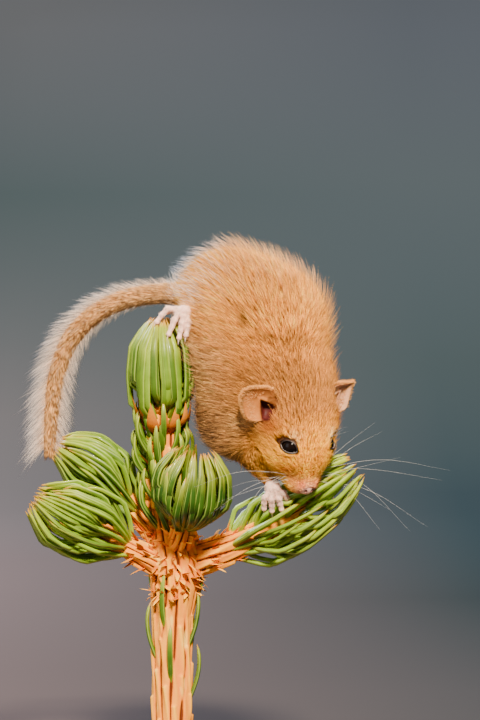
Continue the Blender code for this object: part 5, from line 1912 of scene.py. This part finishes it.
@dataclass
class Whiskers:
    """Long fine whiskers of both pads, each to its own tip, and short ones on the lips and brows."""

    radius: float = 0.034
    lip_radius: float = 0.018
    brow_radius: float = 0.024
    lip_whiskers: int = 7
    brow_whiskers: int = 3
    # Tips of the whiskers: those of the animal's left, seen to the right, then those of its right.
    left_tips: tuple[Place, ...] = (
        (58.4, 3.0, 74.6), (56.4, 1.0, 72.4), (52.8, -6.0, 62.0), (48.9, -4.0, 60.8), (41.8, -8.0, 61.4),
        (40.8, 4.0, 85.6), (42.4, 0.0, 83.8), (47.0, 4.0, 77.6), (44.0, -6.0, 66.0),
    )
    right_tips: tuple[Place, ...] = (
        (-1.2, -24.0, 72.4), (4.4, -26.0, 69.2), (6.8, -28.0, 72.6), (9.4, -25.0, 63.6), (12.2, -27.0, 66.4),
        (2.6, -20.0, 66.0), (14.0, -30.0, 76.0),
    )

    def build(self, finish: Material) -> None:
        """All the whiskers as one piece."""
        draw = random.Random(3)
        strands = []
        for side, tips in ((Side.LEFT, self.left_tips), (Side.RIGHT, self.right_tips)):
            for tip in tips:
                root = HEAD.place(
                    12.2 + draw.uniform(-2.2, 1.8), 3.1 * side.value, -3.1 + draw.uniform(-1.4, 1.4)
                )
                strands.append(self._strand(root, np.array(tip), side, self.radius, draw))
            for _ in range(self.lip_whiskers):
                root = HEAD.place(
                    12.4 + draw.uniform(-1.8, 1.6), 2.9 * side.value, -3.6 + draw.uniform(-1.2, 0.9)
                )
                way = HEAD.way(draw.uniform(-0.8, 0.8), side.value, draw.uniform(-1.2, 0.3))
                strands.append(
                    self._strand(root, root + unit(way) * draw.uniform(3.0, 9.0), side, self.lip_radius, draw)
                )
            for _ in range(self.brow_whiskers):
                root = HEAD.place(6.2 + draw.uniform(-0.5, 0.5), 3.6 * side.value, 5.6)
                way = HEAD.way(draw.uniform(-0.5, 0.3), 0.7 * side.value, 1.0)
                strands.append(self._strand(
                    root, root + unit(way) * draw.uniform(4.0, 7.0), side, self.brow_radius, draw
                ))
        dress(Sweep.along("whiskers", strands, finish, 5), finish, "fur")

    def _strand(self, root: Array, tip: Array, side: Side, radius: float, draw: random.Random) -> Strand:
        """One whisker that leaves its pad square and droops to its tip."""
        root = DORMOUSE.settled(root[None], lambda points: -coat_depth(points) - 0.2, 6)[0]
        span = np.linalg.norm(tip - root)
        leaves = HEAD.way(0.15, 1.0 * side.value, -0.1)
        mid = (root + tip) / 2 + (unit(leaves) - unit(tip - root)) * span * draw.uniform(0.05, 0.16) + (
            0, 0, 0.13 * span * draw.uniform(0, 1)
        )
        line = bent_line([root, mid, tip], 14)
        return Strand(line, radius * np.linspace(1.0, 0.22, 14), draw.random())


# The spruce shoot.


STEM_FOOT = (-6.6, 1.0, 14.0)
WHORL_AT = (-5.4, 1.0, 55.5)
# Corners, half width and half depth of a needle's section.
NEEDLE_SECTION = (8, 1.0, 0.78)
STEM_LINE = bent_line([STEM_FOOT, (-6.4, 1.0, 40.0), WHORL_AT, (-8.4, 1.4, 67.0)], 9)


@dataclass
class SideShoot:
    """A shoot of this year: a twig in orange bark, and needles that close over it like a fist."""

    name: str
    through: tuple[Place, ...]
    foot: float
    wood: float
    twig_radii: tuple[float, float]
    bulge: float
    close: float
    needles: int
    length: float
    thick: float = 0.62
    flakes: int = 22
    # The needles' range of shade, set by shoot as painted light and shade: darkest on the front cluster,
    # lightest on the right shoot.
    tones: tuple[float, float] = (0.1, 0.7)
    shortest: float = 0.78
    foot_reach: float = 0.7
    opens: float = 2.6
    line: Array = field(init=False)

    def __post_init__(self) -> None:
        """Reads the shoot's line."""
        self.line = bent_line(self.through, 41)
        self.whole = np.linalg.norm(np.diff(self.line, axis=0), axis=1).sum()

    def at(self, share: float) -> Array:
        """A point of the line by its share from foot to needle tips."""
        places = np.linspace(0, 1, len(self.line))
        return np.array([np.interp(share, places, self.line[:, k]) for k in range(3)])

    def way(self, share: float) -> Array:
        """The line's direction there."""
        return unit(self.at(min(share + 0.02, 1)) - self.at(max(min(share, 1) - 0.02, 0)))

    def twig_radius(self, share: float) -> float:
        """The twig's radius there."""
        low, high = self.twig_radii
        return low + (high - low) * min(share / self.wood, 1)

    def reach(self, share: float) -> float:
        """How far the outer needles stand off the line there."""
        along = (share - self.foot) / (1 - self.foot)
        ratios = (self.foot_reach, max(0.94, self.foot_reach), 1.0, 0.92, self.close / self.bulge)
        return self.bulge * float(np.interp(along, (0, 0.2, 0.5, 0.75, 1.0), ratios))

    def spokes(self, share: float, turn: float) -> Array:
        """The way square to the line at this turn about it."""
        way = self.way(share)
        side = unit(np.cross(self.way(0.5), (0.12, 0.9, 0.34)))
        across = unit(side - way * (side @ way))
        return math.cos(turn) * across + math.sin(turn) * np.cross(way, across)

    def needle_line(self, draw: random.Random, index: int) -> Array:
        """One needle's line from inside the twig to its tip."""
        first = self.foot + 1.0 / self.whole
        root = first + (self.wood - first) * draw.random()
        outer = index % 3 != 2
        length = self.length * draw.uniform(self.shortest, 1.08)
        hook = draw.uniform(-24, 10)
        last = min(root + length / self.whole, 1.0 if outer else 0.97)
        depth = draw.uniform(0.84, 1.05) if outer else draw.uniform(0.45, 0.75)
        turn = index * GOLDEN_ANGLE + draw.uniform(-0.1, 0.1)
        lean = draw.uniform(-0.22, 0.22)
        points = []
        for step in np.linspace(0, 1, 12):
            share = root + (last - root) * step
            rise = min(1.0, self.opens * step) ** 0.7
            near = self.twig_radius(share) * 0.6
            spoke = self.spokes(share, turn + lean * step)
            curl = hook * max(0.0, step - 0.78) ** 2
            points.append(self.at(share) + spoke * (near + (self.reach(share) * depth - near) * rise + curl))
        return np.array(points)

    def strands(self) -> list[Strand]:
        """All its needles, bent clear of the animal."""
        draw = random.Random(self.name)
        made = []
        for index in range(self.needles):
            line = clear_of_animal(self.needle_line(draw, index), 0.7 * self.thick)
            if line is None:
                continue
            size = self.thick * draw.uniform(0.88, 1.12)
            made.append(Strand(line, size * needle_taper(len(line)), draw.uniform(*self.tones)))
        return made

    def flake_strands(self) -> list[Strand]:
        """Dry scales round the shoot's foot."""
        draw = random.Random(self.name + " scales")
        made = []
        for index in range(self.flakes):
            share = draw.uniform(0.35 * self.foot, self.foot + 0.12)
            spoke = self.spokes(share, index * GOLDEN_ANGLE)
            root = self.at(share) + spoke * (self.twig_radius(share) - 0.4)
            way = unit(self.way(share) * draw.uniform(0.5, 1.4) + spoke * draw.uniform(0.15, 0.8))
            made.append(flake(root, way, spoke, draw))
        return made


def needle_taper(count: int) -> Array:
    """A needle's thickness along it: quickly full, and slowly down to its point."""
    return np.interp(
        np.linspace(0, 1, count), (0, 0.08, 0.5, 0.85, 0.95, 1.0), (0.75, 0.95, 1.0, 0.8, 0.5, 0.06)
    )


def flake(root: Array, way: Array, out: Array, draw: random.Random, size: float = 1.0) -> Strand:
    """A dry scale that curls away from its root."""
    length = draw.uniform(1.9, 3.9) * size
    mid = root + way * length * 0.5 + out * 0.15 * length
    tip = root + way * length + out * draw.uniform(-0.1, 0.45) * length
    radii = size * draw.uniform(0.5, 0.85) * np.array([0.8, 1.0, 0.95, 0.75, 0.45, 0.06])
    return Strand(bent_line([root, mid, tip], 6), radii, draw.random())


DIGITS = np.concatenate([evenly(path, 12) for paw in PAWS for path in paw.lines()])


def clear_of_animal(line: Array, radius: float) -> Array | None:
    """The line bent clear of the animal's body and digits, or nothing where it can't be."""
    line = np.array(line)
    for _ in range(10):
        lack = radius + 0.25 - DORMOUSE.distance(line)
        away = DORMOUSE.slope(line) * np.maximum(lack, 0)[:, None]
        offset = line[:, None] - DIGITS[None]
        apart = np.linalg.norm(offset, axis=2)
        nearest = apart.argmin(axis=1)
        rows = np.arange(len(line))
        short = np.maximum(radius + 0.75 - apart[rows, nearest], 0)
        away += offset[rows, nearest] / apart[rows, nearest][:, None] * short[:, None]
        if max(lack.max(), short.max()) <= 0:
            return line
        away[:2] = 0
        away[1:-1] = 0.5 * away[1:-1] + 0.25 * (away[:-2] + away[2:])
        line = line + 1.25 * away
    return line if lack.max() < 0.6 and short.max() < 0.5 else None


SHOOTS = [
    SideShoot(
        "top",
        ((-8.4, 1.4, 66.0), (-8.8, 1.3, 84.0), (-9.0, 0.5, 98.0), (-8.9, -0.4, 110.3)),
        0.41, 0.62, (4.6, 3.0), 7.7, 3.2, 70, 25.0, 0.80, tones=(0.15, 0.75), foot_reach=0.9, opens=6.0,
    ),
    SideShoot(
        "front",
        ((-5.0, -1.0, 57.0), (-3.8, -6.8, 61.5), (-2.2, -10.6, 69.0), (-0.8, -12.8, 80.5)),
        0.22, 0.55, (3.4, 2.0), 9.0, 4.6, 74, 19.0, 0.66, tones=(0.0, 0.15), shortest=0.55,
    ),
    SideShoot(
        "left_low",
        (
            (-8.0, 0.4, 52.0), (-15.0, -1.8, 56.0), (-23.0, -3.8, 60.5), (-31.0, -5.4, 64.5),
            (-38.5, -6.4, 69.0),
        ),
        0.22, 0.6, (3.6, 2.0), 8.8, 3.4, 74, 20.0, 0.68, tones=(0.25, 0.9),
    ),
    SideShoot(
        "left_high",
        ((-8.0, 3.2, 57.0), (-15.6, 4.6, 65.5), (-22.6, 5.4, 73.0), (-28.6, 5.6, 77.5), (-33.6, 5.6, 80.2)),
        0.24, 0.6, (3.2, 1.8), 7.8, 3.2, 66, 20.0, 0.68, tones=(0.1, 0.7),
    ),
    SideShoot(
        "right",
        ((-2.0, 1.0, 53.5), (8.0, 0.4, 57.0), (18.0, -0.4, 61.9), (27.0, -1.0, 67.6), (36.8, -1.6, 75.6)),
        0.16, 0.72, (4.4, 2.1), 8.4, 4.4, 84, 19.0, 0.76, tones=(0.7, 1.0), shortest=0.6,
    ),
]


@dataclass
class Leader:
    """The leader's stem and its side shoots."""

    stem_radius: float = 4.7
    leader_needles: int = 104
    stray_needles: int = 10
    whorl_flakes: int = 190
    bark_around: int = 132

    def radius(self, height: float) -> float:
        """The stem's mean radius at this height."""
        share = (height - STEM_FOOT[2]) / (STEM_LINE[-1][2] - STEM_FOOT[2])
        return self.stem_radius * float(
            np.interp(share, (0, 0.5, 0.72, 0.85, 1.0), (1, 1.02, 1.35, 1.2, 0.72))
        )

    def barked(
        self, name: str, line: Array, radii: Array, pegs: float, seed: int, finish: Material, *nodes: str
    ) -> None:
        """A length of twig whose leaf cushions run down it in a spiral and end in pegs.

        Args:
            name: The piece's name.
            line: Its middle line, from foot to end.
            radii: Its radius at each point.
            pegs: How many pegs for each millimetre.
            seed: Seeds the spiral.
            finish: The bark.
            nodes: The nodes that it replaces.
        """
        span = np.linalg.norm(np.diff(line, axis=0), axis=1).sum()
        steps, around = max(24, int(span / 0.3)), self.bark_around
        path = evenly(np.asarray(line, float), steps)
        radius = np.interp(np.linspace(0, 1, steps), np.linspace(0, 1, len(radii)), radii)
        way = unit(np.gradient(path, axis=0))
        side = unit(np.cross(way, (0.1, 1.0, 0.05)))
        up = np.cross(way, side)
        turn = full_turn(around)
        height = np.linspace(0, span, steps)
        ridge = np.zeros((steps, around))
        draw = random.Random(seed)
        for index in range(int(span * pegs)):
            at = index / pegs + draw.uniform(-0.5, 0.5)
            angle = index * GOLDEN_ANGLE + draw.uniform(-0.1, 0.1)
            length = draw.uniform(0.12, 0.3) * span + 3
            below = at - height
            along = np.where(
                below >= 0, np.clip(1 - below / length, 0, 1) ** 0.8, np.exp(-((below / 0.25) ** 2))
            )
            off = (turn[None] - angle + math.pi - 0.03 * below[:, None]) % (2 * math.pi) - math.pi
            across = np.exp(-((off * radius[:, None] / (0.42 + 0.12 * along[:, None])) ** 2))
            ridge = np.maximum(ridge, along[:, None] * across)
        coarse = np.sin(5 * turn[None] + 0.05 * height[:, None]) * 0.5 + 0.5
        wander = 5.5 * turn[None] + 0.7 * np.sin(0.13 * height[:, None] + 2 * turn[None] + seed)
        groove = np.exp(-((np.sin(wander) / 0.34) ** 2)) * (1 - 0.7 * ridge)
        lift = 0.55 * ridge + 0.25 * coarse - 0.55 * groove
        spokes = np.cos(turn)[None, :, None] * side[:, None] + np.sin(turn)[None, :, None] * up[:, None]
        points = path[:, None] + spokes * (radius[:, None] - 0.35 + lift)[:, :, None]
        ends = np.array([path[0], path[-1]])
        points = np.concatenate([points.reshape(-1, 3), ends])
        low = (np.arange(steps - 1)[:, None] * around + np.arange(around)[None]).ravel()
        after = (np.arange(steps - 1)[:, None] * around + (np.arange(around)[None] + 1) % around).ravel()
        sides = np.concatenate(
            [np.array([low, after, after + around]).T, np.array([low, after + around, low + around]).T]
        )
        ring = np.arange(around)
        foot, top = steps * around, steps * around + 1
        last = (steps - 1) * around
        caps = np.concatenate([
            np.array([np.full(around, foot), (ring + 1) % around, ring]).T,
            np.array([np.full(around, top), last + ring, last + (ring + 1) % around]).T,
        ])
        made = from_arrays(name, points, np.concatenate([sides, caps]))
        value = np.concatenate(
            [np.clip(0.42 + 0.5 * ridge + 0.12 * coarse - 0.8 * groove, 0, 1).ravel(), [0.6, 0.6]]
        )
        made.data.attributes.new("ridge", "FLOAT", "POINT").data.foreach_set(
            "value", value.astype(np.float32)
        )
        bring_out(made)
        dress(made, finish, "bark", *nodes)

    def stem_strand(
        self, draw: random.Random, index: int, height: float, climb: float, spread: float
    ) -> Strand | None:
        """A needle rooted in the stem: how far it climbs and how far it stands off."""
        turn = index * GOLDEN_ANGLE + draw.uniform(-0.2, 0.2)
        spoke = np.array([math.cos(turn), math.sin(turn), 0.0])
        axis = np.vstack([STEM_LINE, SHOOTS[0].line[2:]])
        points = []
        for step in np.linspace(0, 1, 12):
            z = height + climb * step
            middle = np.array([np.interp(z, axis[:, 2], axis[:, k]) for k in (0, 1)] + [z])
            near = (self.radius(min(height, STEM_LINE[-1][2])) if height < 62 else 3.4) * 0.75
            points.append(middle + spoke * (near + spread * math.sin(2.2 * step)))
        line = clear_of_animal(np.array(points), 0.5)
        if line is None:
            return None
        return Strand(line, 0.66 * needle_taper(len(line)), draw.uniform(0.0, 0.5))

    def build(self, bark: Material, needles: Material, flakes: Material) -> None:
        """The stem, the twigs, the needles and the dry scales."""
        self.barked(
            "bark_stem", STEM_LINE,
            np.array([self.radius(z) for z in STEM_LINE[:, 2]]),
            1.1, 4, bark, "perch_stem",
        )
        draw = random.Random(5)
        strands = [
            self.stem_strand(
                draw, k, draw.uniform(59.0, 81.0), draw.uniform(8.0, 13.0), draw.uniform(1.2, 5.4)
            )
            for k in range(self.leader_needles)
        ]
        strands += [
            self.stem_strand(
                draw, k, 20.0 + 25.0 * k / self.stray_needles, 14.0, 2.8
            ) for k in range(self.stray_needles)
        ]
        strands = [strand for strand in strands if strand]
        dress(Sweep.along("needles_leader", strands, needles, *NEEDLE_SECTION), needles, "needles")
        scales = []
        for index in range(self.whorl_flakes):
            height = draw.uniform(45.0, 61.0)
            turn = index * GOLDEN_ANGLE
            out = np.array([math.cos(turn), math.sin(turn), 0.0])
            middle = np.array(
                [np.interp(height, STEM_LINE[:, 2], STEM_LINE[:, k]) for k in (0, 1)] + [height]
            )
            aside = np.array([-out[1], out[0], 0.0]) * draw.uniform(-0.7, 0.7)
            way = unit(out * draw.uniform(0.25, 0.8) + aside + (0, 0, draw.uniform(-1.0, 0.7)))
            scales.append(flake(middle + out * (self.radius(height) - 0.5), way, out, draw, 0.85))
        for shoot in SHOOTS:
            node = "perch_shoot_" + shoot.name
            end = shoot.wood
            line = np.array([shoot.at(s) for s in np.linspace(0, end, 24)])
            radii = np.array([shoot.twig_radius(s) for s in np.linspace(0, end, 24)])
            radii[-2:] *= 0.6, 0.3
            self.barked("bark_twig_" + shoot.name, line, radii, 1.0, len(shoot.name), bark)
            dress(
                Sweep.along("needles_" + shoot.name, shoot.strands(), needles, *NEEDLE_SECTION),
                needles, "needles", node,
            )
            scales += shoot.flake_strands()
        scales += self._bud_scales()
        dress(Sweep.along("bud_scales", scales, flakes, 6, 1.0, 0.22), flakes, "bark")

    def _bud_scales(self) -> list[Strand]:
        """The large orange scales at the foot of the top shoot's needles."""
        draw = random.Random(8)
        shoot = SHOOTS[0]
        made = []
        for index in range(14):
            share = shoot.foot + draw.uniform(-0.03, 0.03)
            spoke = shoot.spokes(share, index * 2 * math.pi / 7 + (index // 7) * 0.45)
            root = shoot.at(share) + spoke * 2.6
            mid = shoot.at(share + 0.06) + spoke * (5.9 + draw.uniform(-0.3, 0.3))
            tip = shoot.at(share + draw.uniform(0.15, 0.19)) + spoke * (7.0 + draw.uniform(-0.4, 0.5))
            line = clear_of_animal(bent_line([root, mid, tip], 8), 0.6)
            if line is not None:
                radii = draw.uniform(1.15, 1.5) * np.array([0.8, 1, 1.08, 1.05, 0.9, 0.62, 0.3, 0.05])
                made.append(Strand(line, radii, draw.uniform(0.0, 0.2)))
        return made


def bring_out(obj: Piece) -> None:
    """Turns the object's faces outward."""
    shape = bmesh.new()
    shape.from_mesh(obj.data)
    bmesh.ops.recalc_face_normals(shape, faces=shape.faces)
    shape.to_mesh(obj.data)
    shape.free()


# Stand and studio.


@dataclass
class Stand:
    """The display board and its rod, kept as the solids are, in better finishes."""

    wood: WoodFinish = WoodFinish()
    steel: SteelFinish = SteelFinish()

    def dress(self) -> None:
        """Puts the finishes on the solids' own objects."""
        for node, finish in (("stand_base", self.wood), ("stand_rod", self.steel)):
            solid = bpy.data.objects[node]
            solid.data.materials.clear()
            solid.data.materials.append(finish.material())
            LOG.info("%s dressed", node)


@dataclass
class Studio:
    """The camera at the photograph's view, soft lights and a grey sheet that curves up behind."""

    middle: Place = (9.3, -4.0, 100.7)
    tall: float = 167.44
    away: float = 950.0
    elevation: float = 2.0
    sensor: float = 36.0

    def camera(self) -> None:
        """The camera."""
        lens = bpy.data.cameras.new("camera")
        lens.sensor_width = self.sensor
        lens.lens = self.sensor / (self.tall / self.away)
        lens.clip_start, lens.clip_end = 0.01, 20.0
        rise = math.radians(self.elevation)
        back = Vector((0, -math.cos(rise), math.sin(rise)))
        eye = bpy.data.objects.new("camera", lens)
        eye.location = (Vector(self.middle) + back * self.away) * MM
        eye.rotation_euler = (-back).to_track_quat("-Z", "Y").to_euler()
        bpy.context.scene.collection.objects.link(eye)
        bpy.context.scene.camera = eye

    def lamp(self, name: str, place: Place, size: float, power: float, colour: Colour) -> None:
        """A soft square lamp aimed at the animal, its place in metres."""
        light = bpy.data.lights.new(name, "AREA")
        light.size, light.energy, light.color = size, power, colour
        lamp = bpy.data.objects.new(name, light)
        lamp.location = place
        aim = Vector(self.middle) * MM - Vector(place)
        lamp.rotation_euler = aim.to_track_quat("-Z", "Y").to_euler()
        bpy.context.scene.collection.objects.link(lamp)

    def build(self) -> None:
        """All of it."""
        self.camera()
        self.lamp("key", (0.12, -0.95, 0.85), 0.16, 56.0, (1.0, 0.87, 0.68))
        self.lamp("fill", (-0.9, -0.7, 0.45), 0.7, 5.0, (0.95, 0.96, 1.0))
        self.lamp("rim", (-0.55, 0.60, 0.75), 0.4, 30.0, (0.82, 0.91, 1.0))
        world = bpy.data.worlds.new("soft sky")
        world.use_nodes = True
        world.node_tree.nodes["Background"].inputs["Color"].default_value = (0.70, 0.80, 0.92, 1)
        world.node_tree.nodes["Background"].inputs["Strength"].default_value = 0.2
        bpy.context.scene.world = world
        self._sheet()

    def _sheet(self) -> None:
        """The floor that curves up into a backdrop."""
        shape = bmesh.new()
        profile = [(-3.0, 0.0), (0.9, 0.0)]
        profile += [
            (0.9 + 0.9 * math.sin(t), 0.9 - 0.9 * math.cos(t)) for t in np.linspace(0.1, math.pi / 2, 16)
        ]
        profile.append((1.8, 4.0))
        rows = [[shape.verts.new((x, y, z)) for x in (-4.0, 4.0)] for y, z in profile]
        for low, high in zip(rows, rows[1:]):
            shape.faces.new((low[0], low[1], high[1], high[0]))
        mesh = bpy.data.meshes.new("studio_sheet")
        shape.to_mesh(mesh)
        shape.free()
        sheet = linked("studio_sheet", mesh)
        mesh.polygons.foreach_set("use_smooth", [True] * len(mesh.polygons))
        sheet.data.materials.append(PaperFinish().material())


def main() -> None:
    """Builds every piece."""
    logging.basicConfig(level=logging.INFO, format="%(message)s")
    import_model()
    Studio().build()
    Stand().dress()
    skin = Skin().build()
    flesh_nodes = ["torso", "neck", "head"]
    flesh_nodes += [
        f"{part}_{side.word}" for part in ("ear", "foreleg", "forepaw", "hindleg", "hindpaw") for side in Side
    ]
    flesh_nodes += ["tail_base", "tail_middle", "tail_tip"]
    dress(skin, SkinFinish().material(), "bare_skin", *flesh_nodes)
    eye_finish = EyeFinish().material()
    rim = HornFinish("lid_margin", (0.03, 0.02, 0.018), (0.62, 0.50, 0.46), 0.4).material()
    for eye in EYES:
        eye.build(eye_finish, rim)
    claw = HornFinish("claws", (0.88, 0.62, 0.52), (0.60, 0.46, 0.38)).material()
    for paw in PAWS:
        dress(Sweep.along("claws_" + paw.name, paw.claws(), claw, 8, 1.0, 0.8), claw, "bare_skin")
    coat = Coat(skin, CoatFinish().material())
    coat.body()
    coat.tail()
    coat.ears()
    coat.paws()
    Whiskers().build(HornFinish("whiskers", (0.75, 0.72, 0.68), (0.42, 0.43, 0.44), 0.4).material())
    Leader().build(BarkFinish().material(), NeedleFinish().material(), FlakeFinish().material())


if __name__ == "__main__":
    main()
